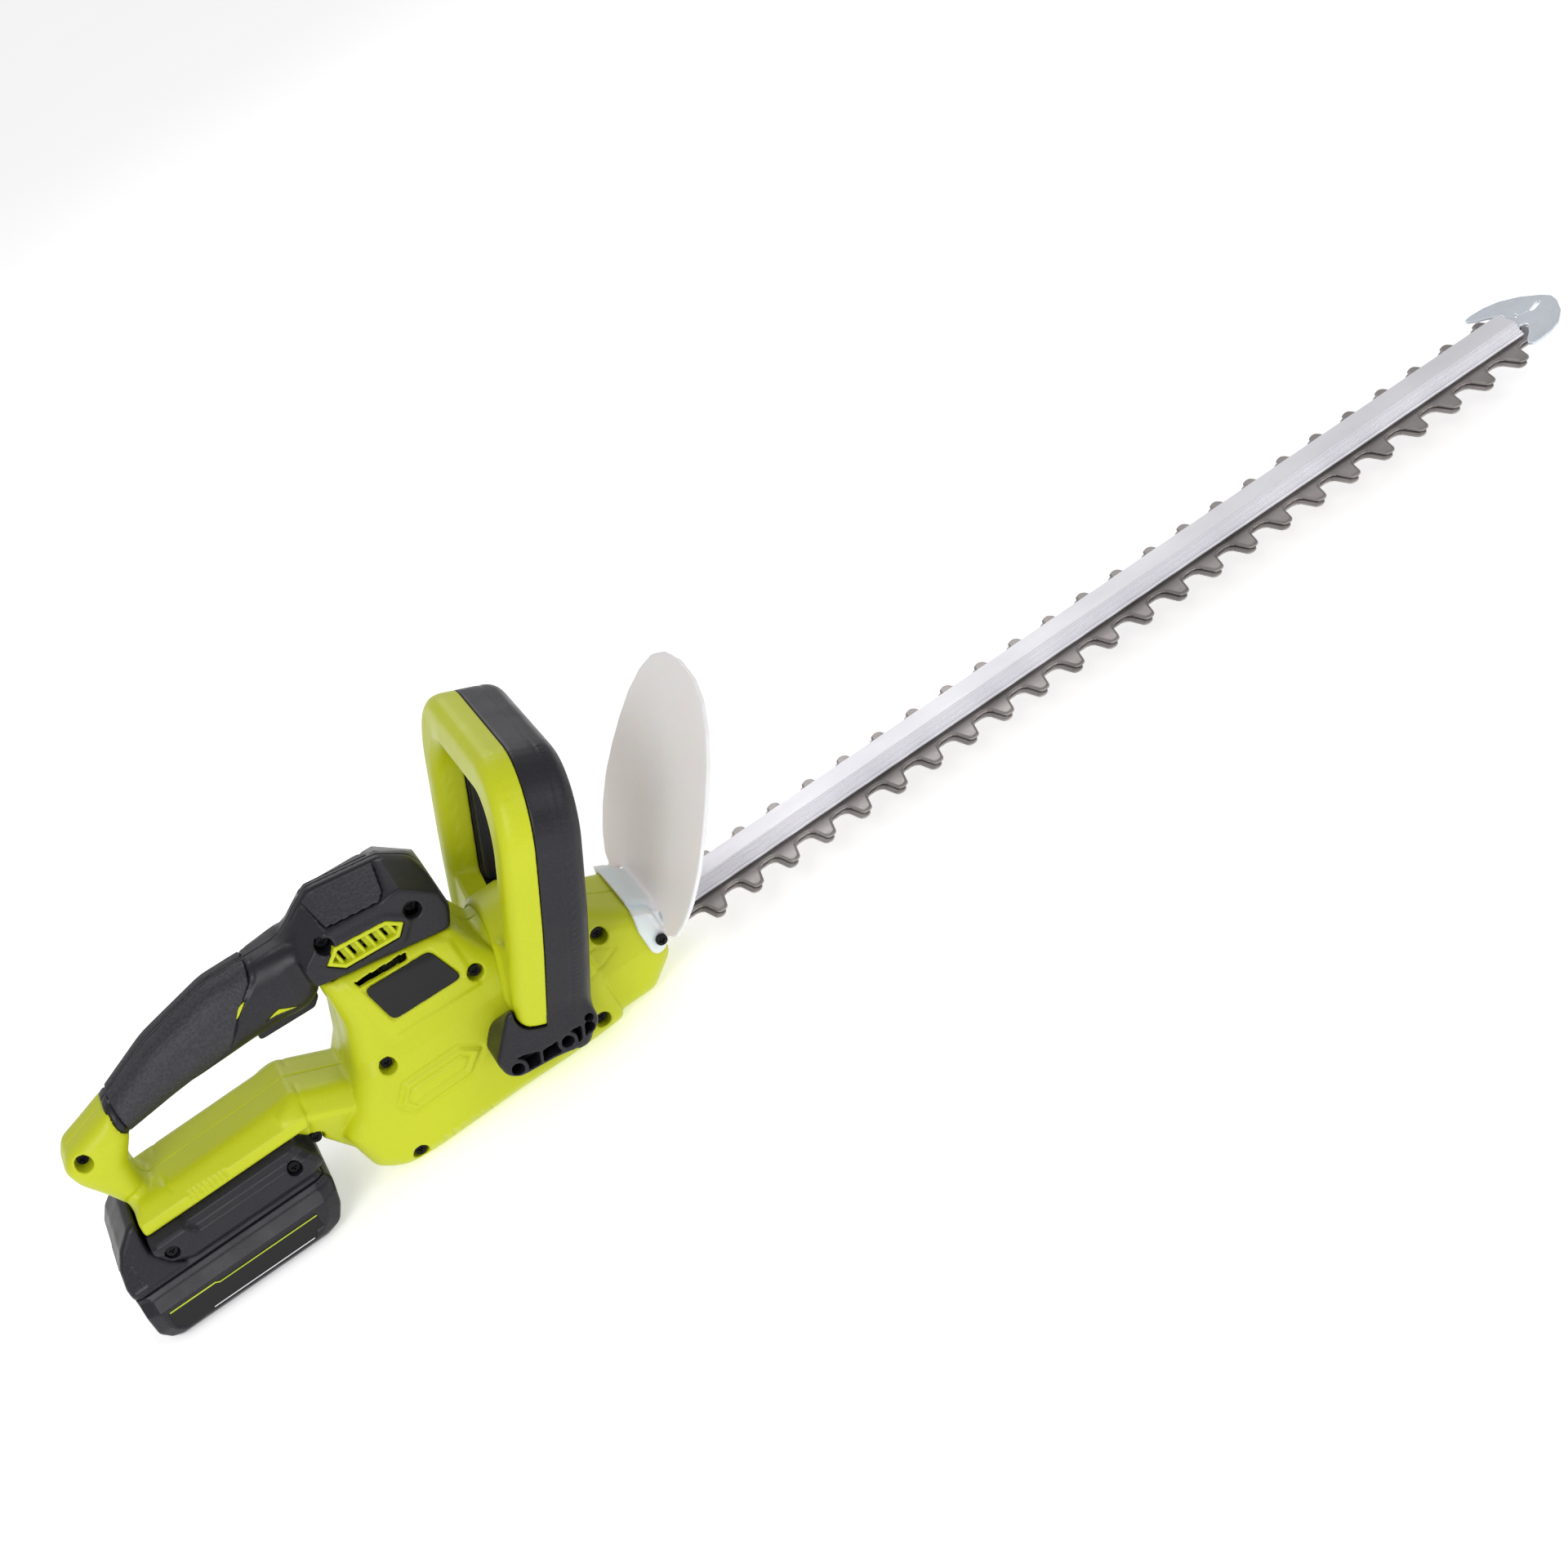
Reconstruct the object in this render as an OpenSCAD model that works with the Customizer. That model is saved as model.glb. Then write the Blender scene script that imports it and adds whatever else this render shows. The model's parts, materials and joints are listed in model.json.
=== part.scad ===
// Cordless hedge trimmer with a double-acting blade, a front loop handle and a slide-on battery.
// Frame: the blade points along +X and +Z is up. The origin is the middle of the battery's base.
// The left side of the tool is -Y.

/* [Blades] */
// Teeth on each edge of a blade
tooth_count = 24; // [20:1:24]
// Distance from one tooth to the next
tooth_pitch = 21.5; // [21:0.1:21.5]
// Width over the tooth tips
blade_w = 61; // [58:1:62]
// Width of the solid spine of a blade
spine_w = 29; // [28:1:30]
// Thickness of one blade
blade_t = 1.8; // [1.5:0.1:1.9]
// Height of the upper blade's top face above the battery base
blade_z = 26; // [26:0.1:26.2]
// Forward position of the first tooth on the left edge
first_tooth_x = 280; // [278:1:282]
// Full travel of each blade
stroke = 10.8; // [8:0.2:10.8]

/* [Drive] */
// Forward position of the motor's axis
motor_x = 136.65; // [136.6:0.05:136.7]
// Diameter of the motor can
motor_d = 36; // [34:1:37]
// Length of the motor can
motor_len = 57; // [50:1:57]
// Teeth on the motor pinion
pinion_teeth = 10; // [10:2:10]
// Teeth on the crank gear
gear_teeth = 50; // [50:10:50]
// Size of the gear teeth, as pitch diameter over tooth count
gear_module = 1; // [1:0.1:1]
// Diameter of the crank shaft
crank_shaft_d = 8; // [7:0.5:8]
// Diameter of each eccentric disc
eccentric_d = 21; // [20:0.5:21]

/* [Body] */
// Width of the main body
body_w = 72; // [71:0.5:73]
// Width of the nose
nose_w = 62; // [61:0.5:63]
// Width of the neck between the body and the foot
neck_w = 58; // [56:0.5:60]
// Width of the foot above the battery
foot_w = 62; // [60:0.5:63]
// Width of the rear handle
grip_w = 35; // [33:0.5:36]
// Width of the hump over the motor
hump_w = 58; // [56:0.5:60]
// Wall thickness of the shells
wall = 2.6; // [2.2:0.1:2.8]

/* [Front handle] */
// Forward lean of the loop, in degrees from upright
loop_lean = 23.5; // [22:0.5:25]
// Depth of the rear shell of the loop
loop_rear_depth = 16; // [15:0.5:17]
// Depth of the front shell of the loop
loop_front_depth = 24; // [23:0.5:25]
// Travel of the front switch lever
lever_travel = 4; // [2:0.5:4]

/* [Hand guard] */
// Forward lean of the guard plate, in degrees from upright
guard_lean = 39; // [37:1:40]
// Thickness of the guard plate
guard_t = 2.4; // [2:0.1:3]

/* [Battery] */
// Length of the battery
battery_len = 108; // [107:0.5:109]
// Width of the battery
battery_w = 76; // [75:0.5:77]
// Height of the battery's main block
battery_h = 33; // [33:0.1:33.2]

/* [Hidden] */
$fn = 48;

// Gaps
run_gap = 0.3;
fit_gap = 0.15;

// Colours
lime = "yellowgreen";
charcoal = "dimgray";
steel = "silver";

// Blade stack, from the top down
upper_top = blade_z;
upper_bottom = upper_top - blade_t;
lower_top = upper_bottom - run_gap;
lower_bottom = lower_top - blade_t;
eccentric_throw = stroke / 2;
rest_shift = 1;
tooth_tip_r = 3.2;
blade_tip_x = first_tooth_x + (tooth_count - 1) * tooth_pitch + 21;
yoke_w = 43.6;
yoke_slot_w = 33;

// Drive
pitch_gap = 0.15;
pinion_r = pinion_teeth * gear_module / 2;
gear_r = gear_teeth * gear_module / 2;
crank_x = motor_x + pinion_r + gear_r + pitch_gap;
swing_r = eccentric_d / 2 + eccentric_throw;
yoke_slot_r = swing_r + eccentric_throw + 0.6;
gear_z = 35;
gear_t = 6;
case_roof_z = 50;
case_roof_t = 7.4;
bearing_d = 22;
bearing_t = 7;
motor_shaft_d = 3.2;
fan_z = motor_base_z() + motor_len + 4;
fan_d = 34;
function motor_base_z() = case_roof_z;

// Blade bar and its bolts
bar_start = 204;
bar_end = 789;
bar_z = upper_top + run_gap;
bar_foot_w = 20;
bar_w = 24;
bar_top_w = 15.6;
bar_lip_z = bar_z + 1.1;
bar_top_z = upper_top + 8.65;
tongue_z = upper_top + 3.4;
tip_t = 1.5;
tongue_w = 13;
bolt_first_x = 311;
bolt_pitch = 74;
bolt_count = 7;
bolt_d = 5;
bush_d = 8;
bolt_head_d = 11;
bolt_head_t = 4;
function bolt_x(i) = bolt_first_x + i * bolt_pitch;

// Outline of the main body from the side, counter-clockwise from the neck's underside
body_side = [
    [70, 38], [74, 14], [87, 3], [104, 0.6], [196, 3], [214, 8], [214, 52], [200, 66],
    [179, 72], [168, 98], [102, 111], [101, 86], [92, 62], [80, 46]
];
// The neck between the body and the foot
neck_side = [[50, 55.5], [62, 40], [76, 18], [112, 14], [112, 60], [88, 56], [61, 68], [49, 66]];
// The gear neck and nose in front of the body
nose_side = [
    [160, 8], [236, 8], [251, 18], [251, 47], [234, 56], [202, 80], [188, 84], [174, 78],
    [160, 78]
];
// The foot over the battery dock
foot_side = [[-49, 54], [66, 54], [66, 62], [50, 67], [-32, 65], [-46, 62]];
// The rear end of the handle, from the foot up to the grip
rear_side = [
    [-36, 56], [-14, 58], [-21, 72], [-18, 84], [-8, 96], [-8, 112], [-26, 107],
    [-39, 101], [-44, 93], [-41, 70]
];
// The grip
grip_end = -12;
grip_side = [
    [-30, 92], [20, 99], [62, 99], [92, 98], [103, 104], [105, 132], [58, 134],
    [20, 126], [-30, 105]
];
// The hump over the motor
hump_side = [
    [100, 111.2], [168, 98.2], [172.5, 109], [171, 122], [160, 132], [122, 137], [104, 129]
];

// Front loop, in its own plane: local Y across, local Z along the legs
loop_x = 184;
loop_z = 52;
loop_half_w = 77;
loop_top = 125;
loop_corner_r = 38;
loop_bar_t = 24;
loop_foot = -27;
loop_wall = 3;
loop_skin = 4.5;
saddle_top = 42;
lever_t = 7;
lever_depth = 17;
lever_gap = 0.4;

// Battery and dock
battery_back = -battery_len / 2 + 1;
battery_front = battery_back + battery_len;
rail_z = 45.4;
tower_w = 51;
tower_front = 38;
dock_back = -37;
dock_front = 57;
dock_top = 54;
dock_w = 72;
terminal_y = [-12, -4, 4, 12];
cell_d = 18.4;
cell_len = 65;
cell_count = 5;
latch_travel = 3;

// Screw places on the left and right shells: x, z, side face
housing_screw_places = [
    [165.4, 73.6], [107, 59.4], [59.5, 43.6], [96, 9.8], [203, 14], [223.4, 51], [-33.2, 97.6]
];
hump_screw_places = [[115, 127.5], [157.8, 117.9]];
dock_screw_x = [-24, 44];
dock_screw_z = 43;
loop_screw_places = [[156, 31], [184, 28]];
guard_screw_place = [247.5, 33];

corner_step = 0.04;

function unit(v) = v / norm(v);
function turn_left(v) = [-v[1], v[0]];

// The outline moved inwards by d, for an outline listed counter-clockwise
function inset(points, d) = [
    for (i = [0:len(points) - 1])
    let (
        n = len(points),
        before = turn_left(unit(points[i] - points[(i + n - 1) % n])),
        after = turn_left(unit(points[(i + 1) % n] - points[i]))
    )
    points[i] + (before + after) * d / (1 + before * after)
];

// Points of an arc about a centre, from one angle to another
function arc(centre, r, from, to, steps = 8) = [
    for (i = [0:steps]) centre + r * [cos(from + (to - from) * i / steps), sin(from + (to - from) * i / steps)]
];

// A side outline extruded from y0 to y1
module side_prism(points, y0, y1) {
    translate([0, y1, 0])
        rotate([90, 0, 0])
            linear_extrude(y1 - y0)
                polygon(points);
}

// Whether an outline listed counter-clockwise turns outwards at its point i
function convex(points, i) =
    let (
        n = len(points),
        before = points[i] - points[(i + n - 1) % n],
        after = points[(i + 1) % n] - points[i]
    )
    before[0] * after[1] - before[1] * after[0] > 0;

// What is cut away to bevel one top edge of a prism, down by drop and in by reach. Neighbouring
// bevels go down by slightly different amounts, so that they never meet a corner at one height
module edge_bevel(points, h, least_drop, reach, edge) {
    n = len(points);
    over = 0.3;
    drop = least_drop + corner_step * (edge == 0 ? 2 : edge % 2);
    p = points[edge];
    run = points[(edge + 1) % n] - p;
    start = convex(points, edge) ? reach / 2 : 0;
    end = convex(points, (edge + 1) % n) ? reach / 2 : 0;
    translate([p[0], p[1], h])
        rotate([0, 0, atan2(run[1], run[0])])
            translate([-start, 0, 0])
                rotate([90, 0, 90])
                    linear_extrude(norm(run) + start + end)
                        polygon([
                            [-over * reach, -drop * (1 + over)],
                            [reach * (1 + over), over * drop],
                            [-over * reach, over * drop]
                        ]);
}

// A prism standing on the XY plane whose top edges are bevelled, one edge after another
module bevelled(points, h, drop, reach, edge = 0) {
    if (edge == len(points)) {
        linear_extrude(h)
            polygon(points);
    } else {
        difference() {
            bevelled(points, h, drop, reach, edge + 1);
            edge_bevel(points, h, drop, reach, edge);
        }
    }
}

// A side outline from the middle plane out to y1 on the right, with its outer edge bevelled
module bevelled_side(points, y1, drop, reach) {
    mirror([0, 1, 0])
        rotate([90, 0, 0])
            bevelled(points, y1, drop, reach);
}

// Keeps a right-hand piece as it is, or mirrors it to the left
module on_side(side) {
    mirror([0, side < 0 ? 1 : 0, 0])
        children();
}

// One half of the green body, as a solid grown inwards by d
module half_body(d) {
    bevelled_side(inset(body_side, d), body_w / 2 - d, 7, 6);
    bevelled_side(inset(neck_side, d), neck_w / 2 - d, 8, 4);
    bevelled_side(inset(nose_side, d), nose_w / 2 - d, 9, 5);
    bevelled_side(inset(foot_side, d), foot_w / 2 - d, 3, 2.5);
    bevelled_side(inset(rear_side, d), grip_w / 2 - d, 5, 3.5);
}

// One half of the black upper part
module half_grip(d) {
    difference() {
        bevelled_side(inset(grip_side, d), grip_w / 2 - d, 8.4, 7);
        translate([-60 + d, -1, 80])
            cube([60 + grip_end, 60, 60]);
    }
    bevelled_side(inset(hump_side, d), hump_w / 2 - d, 10, 6);
}

// A cylinder across the tool, from y0 to y1
module cross_cylinder(x, z, y0, y1, d, sides = 48) {
    translate([x, y1, z])
        rotate([90, 0, 0])
            cylinder(h = y1 - y0, d = d, $fn = sides);
}

screw_d = 3;
screw_head_d = 5.6;
boss_d = 9;

// Half width of the shell where each housing screw sits
function screw_face_y(i) = i == 6 ? grip_w / 2 : i == 5 ? nose_w / 2 : i == 2 ? 29 : body_w / 2;

// A sunk hole for a screw that holds two halves together
module screw_recess(place, face) {
    cross_cylinder(place[0], place[1], sunk_head_y(face), face + 20, screw_head_d + 0.6, 24);
    cross_cylinder(place[0], place[1], -1, face, screw_d + 0.3, 16);
}
function sunk_head_y(face) = face - 9;

module blade_way() {
    // Way out through the nose for the blades and the bar
    translate([190, -blade_way_w / 2, lower_bottom - 6])
        cube([80, blade_way_w, bar_top_z - lower_bottom + 7]);
}
blade_way_w = spine_w + 2;

module half_housing() {
    difference() {
        half_body(0);
        difference() {
            half_body(wall);
            for (i = [0:len(housing_screw_places) - 1])
                cross_cylinder(
                    housing_screw_places[i][0], housing_screw_places[i][1], -1,
                    screw_face_y(i) - 1, boss_d, 24
                );
            cross_cylinder(guard_screw_place[0], guard_screw_place[1], nose_w / 2 - 9, nose_w / 2, 8, 24);
        }
        half_grip(-0.05);
        blade_way();
        cross_cylinder(guard_screw_place[0], guard_screw_place[1], 10, 60, 3.1, 24);
        // The dock's top and the battery's terminals reach up through the foot
        translate([-20, -20, 50])
            cube([60, 40, 8]);
        for (i = [0:len(housing_screw_places) - 1])
            screw_recess(housing_screw_places[i], screw_face_y(i));
        // Opening from the body up into the hump
        translate([108, -1, 92])
            cube([52, 24, 24]);
        trigger_room();
    }
}

module half_cover() {
    difference() {
        half_grip(0);
        difference() {
            half_grip(wall);
            for (place = hump_screw_places)
                cross_cylinder(place[0], place[1], -1, hump_w / 2 - 1, boss_d, 24);
        }
        for (place = hump_screw_places)
            screw_recess(place, hump_w / 2);
        // Opening down into the body, and along the grip
        translate([108, -1, 92])
            cube([52, 24, 24]);
        translate([90, -1, 108])
            cube([24, 10, 20]);
        translate([-20, -1, 102])
            cube([14, 8, 6]);
        vent_hole();
        pad_skin(0);
        trigger_room();
        cross_cylinder(trigger_pivot[0], trigger_pivot[1], -1, 13.6, trigger_pin_d);
    }
}

module vent_outline(d) {
    polygon(inset([
        [113, 119.6], [119, 114.2], [147, 110.5], [152.5, 115.6], [147, 120.6], [119, 124.4]
    ], d));
}

module vent_hole() {
    translate([0, hump_w / 2 + 1, 0])
        rotate([90, 0, 0])
            linear_extrude(12)
                vent_outline(0);
}

// Textured pads let into the sides of the hump, as a skin of the hump's own surface
pad_side = [[124, 125.5], [148, 121.8], [152, 124.5], [151, 131], [147, 134], [124, 136], [120, 133], [120, 128]];
module pad_skin(d) {
    intersection() {
        side_prism(inset(pad_side, d), 5, 40);
        difference() {
            bevelled_side(inset(hump_side, d - 0.1), hump_w / 2 + 0.1 - d, 10, 6);
            bevelled_side(inset(hump_side, 1 - d), hump_w / 2 - 1 + d, 10, 6);
        }
    }
}

module housing_left() {
    color(lime)
        on_side(-1)
            half_housing();
}

module housing_right() {
    color(lime)
        half_housing();
}

module grip_left() {
    color(charcoal)
        on_side(-1)
            half_cover();
}

module grip_right() {
    color(charcoal)
        half_cover();
}

module grip_pads() {
    color("slategray")
        for (side = [-1, 1])
            on_side(side)
                pad_skin(0.1);
}

module vent_grilles() {
    slat_pitch = 5.6;
    color(lime)
        for (side = [-1, 1])
            on_side(side)
                difference() {
                    translate([0, hump_w / 2 - 0.2, 0])
                        rotate([90, 0, 0])
                            linear_extrude(3)
                                vent_outline(0.1);
                    for (i = [0:4])
                        translate([119.5 + i * slat_pitch, hump_w / 2 - 5, 113 - 0.7 * i])
                            cube([2.6, 10, 9]);
                }
}

module rating_plate() {
    color("black")
        translate([0, -body_w / 2, 0])
            rotate([90, 0, 0])
                linear_extrude(0.5)
                    polygon([[124, 77], [157, 74.5], [153.5, 94], [119.5, 98]]);
}

// Outline of the loop's outside from the front, cut off below at foot
function loop_outer(foot) = concat(
    [[-58, foot], [58, foot], [68, 30], [75, 72], [loop_half_w, loop_top - loop_corner_r]],
    arc([loop_half_w - loop_corner_r, loop_top - loop_corner_r], loop_corner_r, 10, 90, 7),
    arc([loop_corner_r - loop_half_w, loop_top - loop_corner_r], loop_corner_r, 90, 170, 7),
    [[-loop_half_w, loop_top - loop_corner_r], [-75, 72], [-68, 30]]
);

inner_corner_r = 20;
inner_half_w = loop_half_w - loop_bar_t;
inner_top = loop_top - loop_bar_t;
// Outline of the opening for the hand, cut off below at foot
function loop_inner(foot) = concat(
    [[-46.5, foot], [46.5, foot], [inner_half_w - 2, 72]],
    arc([inner_half_w - inner_corner_r - 1, inner_top - inner_corner_r], inner_corner_r, 10, 90, 5),
    arc([1 + inner_corner_r - inner_half_w, inner_top - inner_corner_r], inner_corner_r, 90, 170, 5),
    [[2 - inner_half_w, 72]]
);

// Places its children in the plane of the loop: local X forward, local Z along the legs
module in_loop() {
    translate([loop_x, 0, loop_z])
        rotate([0, loop_lean, 0])
            children();
}

// An outline in the loop's plane, from depth x0 to x1
module loop_prism(points, x0, x1) {
    translate([x0, 0, 0])
        rotate([90, 0, 90])
            linear_extrude(x1 - x0)
                polygon(points);
}

// The space that the green body fills, which the loop's saddle sits on
module body_space() {
    for (side = [-1, 1])
        on_side(side) {
            bevelled_side(inset(body_side, -fit_gap), body_w / 2 + fit_gap, 7, 6);
            bevelled_side(inset(nose_side, -fit_gap), nose_w / 2 + fit_gap, 9, 5);
        }
    translate([120, -20, 4])
        cube([128, 40, 60]);
}

lever_foot = 24;
// The room that the lever sweeps through inside the loop
module lever_room() {
    in_loop() {
        loop_prism(inset(loop_inner(lever_foot), -0.2), 0.4, lever_depth + 1.6);
        translate([0, 0, lever_travel])
            loop_prism(inset(loop_inner(lever_foot), -0.2), 0.4, lever_depth + 1.6);
    }
}

module loop_rear_shell() {
    color(lime)
        difference() {
            in_loop()
                difference() {
                    rotate([0, -90, 0])
                        rotate([0, 0, -90])
                            bevelled(loop_outer(0), loop_rear_depth, 5, 5);
                    loop_prism(loop_inner(-40), -loop_rear_depth - 1, 1);
                    difference() {
                        loop_prism(inset(loop_outer(0), loop_skin), loop_wall - loop_rear_depth, 1);
                        loop_prism(inset(loop_inner(-40), -loop_wall), -loop_rear_depth - 1, 2);
                    }
                }
            body_space();
        }
}

bracket_side = [[149, 36], [152, 25], [158, 22.5], [200, 21], [208, 30], [202, 52], [167, 60]];

module loop_front_shell() {
    color(charcoal)
        difference() {
            union() {
                in_loop()
                    difference() {
                        rotate([90, 0, 90])
                            bevelled(loop_outer(loop_foot), loop_front_depth, 7, 7);
                        loop_prism(loop_inner(saddle_top), -1, loop_front_depth + 1);
                        difference() {
                            loop_prism(inset(loop_outer(-5), loop_skin), -1, loop_front_depth - loop_wall - 1);
                            loop_prism(inset(loop_inner(-40), -loop_wall), -2, loop_front_depth + 1);
                        }
                    }
                for (side = [-1, 1])
                    on_side(side)
                        bracket();
            }
            body_space();
            lever_room();
            in_loop()
                loop_prism(loop_outer(0), -loop_rear_depth - 12, 0);
            for (side = [-1, 1])
                on_side(side)
                    bracket_pockets();
        }
}

// Foot that holds the loop against the side of the body
module bracket() {
    side_prism(bracket_side, 30, 57);
}

module bracket_pockets() {
    // Open pockets between the screw posts, from below
    translate([162, 40, 18])
        cube([16, 13, 18]);
    translate([190, 40, 18])
        cube([10, 13, 16]);
    for (place = loop_screw_places) {
        cross_cylinder(place[0], place[1], 41, 70, 7);
        cross_cylinder(place[0], place[1], 20, 60, screw_d + 0.3);
    }
}

module front_lever() {
    color("darkslategray")
        in_loop()
            difference() {
                loop_prism(inset(loop_inner(lever_foot), lever_gap), 1, lever_depth);
                loop_prism(inset(loop_inner(-20), lever_gap + lever_t), 0, lever_depth + 1);
            }
}

spring_y = 22;
spring_turns = 5;

// A coil spring standing on the origin
module coil(d, wire, height, turns) {
    per_turn = 12;
    around = 6;
    count = turns * per_turn;
    rise = height - wire;
    corners = [
        for (i = [0:count])
        let (angle = 360 * i / per_turn, z = wire / 2 + rise * i / count)
        each [
            for (k = [0:around - 1])
            let (r = d / 2 + wire / 2 * cos(360 * k / around))
            [r * cos(angle), r * sin(angle), z + wire / 2 * sin(360 * k / around)]
        ]
    ];
    sides = [
        for (i = [0:count - 1])
        for (k = [0:around - 1])
        [
            i * around + k, i * around + (k + 1) % around,
            (i + 1) * around + (k + 1) % around, (i + 1) * around + k
        ]
    ];
    first = [for (k = [around - 1:-1:0]) k];
    last = [for (k = [0:around - 1]) count * around + k];
    polyhedron(corners, concat(sides, [first, last]), convexity = 10);
}

module lever_springs() {
    color(steel)
        in_loop()
            for (side = [-1, 1])
                translate([9, side * spring_y, inner_top - lever_gap + 0.05])
                    coil(7, 1, loop_top - loop_skin - inner_top + lever_gap - 0.1, spring_turns);
}

module front_switch() {
    color("black")
        in_loop()
            translate([4, -10, inner_top + lever_travel + 2])
                cube([8, 20, 9]);
}

// Trigger
trigger_pivot = [94, 104];
trigger_pin_d = 4;
trigger_half_w = 7;
trigger_angle = 9;

module trigger_profile() {
    polygon([[64, 94.5], [94, 93], [98.5, 97], [98.5, 107], [92, 108.5], [78, 105.2], [66, 105.2]]);
}

module trigger_room() {
    for (angle = [0, trigger_angle])
        translate([trigger_pivot[0], 0, trigger_pivot[1]])
            rotate([0, angle, 0])
                translate([-trigger_pivot[0], trigger_half_w + run_gap, -trigger_pivot[1]])
                    rotate([90, 0, 0])
                        linear_extrude(2 * trigger_half_w)
                            polygon([[62.5, 90], [100, 90], [100, 109.5], [91, 110], [62.5, 107]]);
}

module trigger() {
    color("black")
        difference() {
            translate([0, trigger_half_w, 0])
                rotate([90, 0, 0])
                    linear_extrude(2 * trigger_half_w)
                        trigger_profile();
            cross_cylinder(trigger_pivot[0], trigger_pivot[1], -20, 20, trigger_pin_d + 0.1);
        }
}

module trigger_pin() {
    color(steel)
        cross_cylinder(trigger_pivot[0], trigger_pivot[1], -13.5, 13.5, trigger_pin_d);
}

module trigger_spring() {
    color(steel)
        translate([71, 0, 105.3])
            coil(5, 0.8, 11, 4);
}

module trigger_switch() {
    color("black")
        translate([62, -8, 116.4])
            cube([28, 16, 11]);
}

// Battery dock, fixed under the foot
module dock() {
    color(charcoal)
        difference() {
            side_prism([
                [dock_back, 54], [dock_back - 6, 46], [dock_back, 38], [-28, battery_h + 0.6],
                [dock_front - 8, battery_h + 0.6], [dock_front, 37], [dock_front, 41], [50, 51], [50, 54]
            ], -dock_w / 2, dock_w / 2);
            // Room for the battery's tower, open to the rear
            translate([-80, -tower_w / 2 - run_gap, 20])
                cube([80 + tower_front + run_gap, tower_w + 2 * run_gap, rail_z - 20 + run_gap]);
            for (x = dock_screw_x)
                for (side = [-1, 1])
                    on_side(side) {
                        cross_cylinder(x, dock_screw_z, 30.98, 50, screw_head_d + 0.4);
                        cross_cylinder(x, dock_screw_z, 25.5, 40, screw_d + 0.1);
                    }
            for (y = terminal_y)
                translate([11.9, y - 0.6, 40])
                    cube([tower_front - 11.8, 1.2, 20]);
        }
    color(charcoal)
        for (side = [-1, 1])
            on_side(side)
                translate([-26, tower_w / 2 - 2.6, 39.6])
                    cube([60, 3.2, 2.4]);
}

module dock_terminals() {
    color("goldenrod")
        for (y = terminal_y)
            translate([12, y - 0.5, 41])
                cube([tower_front - 12, 1, 13]);
}

// Battery
battery_side = [
    [battery_back + 8, 0], [battery_front - 17, 0], [battery_front - 8, 6], [battery_front - 3.5, 13],
    [battery_front, 25], [battery_front - 5, battery_h], [battery_back, battery_h], [battery_back, 9.5]
];

battery_room_w = cell_len + 1.4;

module battery_lower() {
    color(charcoal)
        difference() {
            for (side = [-1, 1])
                on_side(side)
                    bevelled_side(battery_side, battery_w / 2, 4, 3);
            // Hollow for the cells, open at the top
            side_prism(inset(battery_side, 2.4), -battery_room_w / 2, battery_room_w / 2);
            battery_panel_recess(0);
            latch_room();
            translate([battery_back - 1, -100, 29])
                cube([battery_len + 5, 200, 40]);
        }
}

module battery_panel_recess(d) {
    for (side = [-1, 1])
        on_side(side)
            translate([0, battery_w / 2 + 1, 0])
                rotate([90, 0, 0])
                    linear_extrude(1.6 - d)
                        polygon(inset([
                            [-44.5, 9.5], [-38, 5.5], [35, 5.5], [39.5, 9.5], [39.5, 18.8], [-44.5, 18.8]
                        ], d));
}

module battery_panels() {
    color("black")
        intersection() {
            battery_panel_recess(0.1);
            translate([-100, -battery_w / 2, 0])
                cube([200, battery_w, 40]);
        }
}

module battery_upper() {
    color(charcoal)
        difference() {
            union() {
                for (side = [-1, 1])
                    on_side(side)
                        intersection() {
                            bevelled_side(battery_side, battery_w / 2, 4, 3);
                            translate([-100, -1, 29])
                                cube([200, 60, 20]);
                        }
                // Tower with a groove down each side for the dock's rails
                translate([battery_back + 9, -tower_w / 2, 31])
                    cube([tower_front - battery_back - 9, tower_w, rail_z - 31]);
                // Raised back that closes the dock
                side_prism([
                    [battery_back, 31], [dock_back + 1, 31], [dock_back - 2, 38],
                    [dock_back - 7, 46], [dock_back - 4, 52], [battery_back + 4, 48]
                ], -30, 30);
            }
            for (side = [-1, 1])
                on_side(side)
                    translate([-60, tower_w / 2 - 3, 39.2])
                        cube([120, 10, 3.2]);
            // Ways into the tower for the dock's terminals
            for (y = terminal_y)
                translate([-12, y - 1.6, 32])
                    cube([80, 3.2, 40]);
            translate([battery_back + 12, -tower_w / 2 + 3, 20])
                cube([tower_front - battery_back - 15, tower_w - 6, 13]);
            latch_room();
        }
}

module battery_cells() {
    color("steelblue")
        for (i = [0:cell_count - 1])
            cross_cylinder((i - 2) * (cell_d + 0.4) - 2, 4 + cell_d / 2, -cell_len / 2, cell_len / 2, cell_d);
}

module battery_board() {
    color("green")
        translate([-36, -20, 27])
            cube([70, 40, 1.6]);
}

module battery_contacts() {
    color("gold")
        for (y = terminal_y)
            for (side = [-1, 1])
                translate([-10, y - 0.4 + side * 1, 28.6])
                    cube([14, 0.8, 12]);
}

latch_z = 24;
module latch_room() {
    translate([battery_back - 3, -13.5, 19.7])
        cube([10, 27, 19.8]);
}

module battery_latch() {
    color("black")
        translate([battery_back + 0.3, -13, 20.3])
            cube([3, 26, 18.7]);
}

module latch_spring() {
    color(steel)
        translate([battery_back + 3.4, 0, 26])
            rotate([0, 90, 0])
                coil(6, 0.7, 3.5, 2);
}

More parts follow.
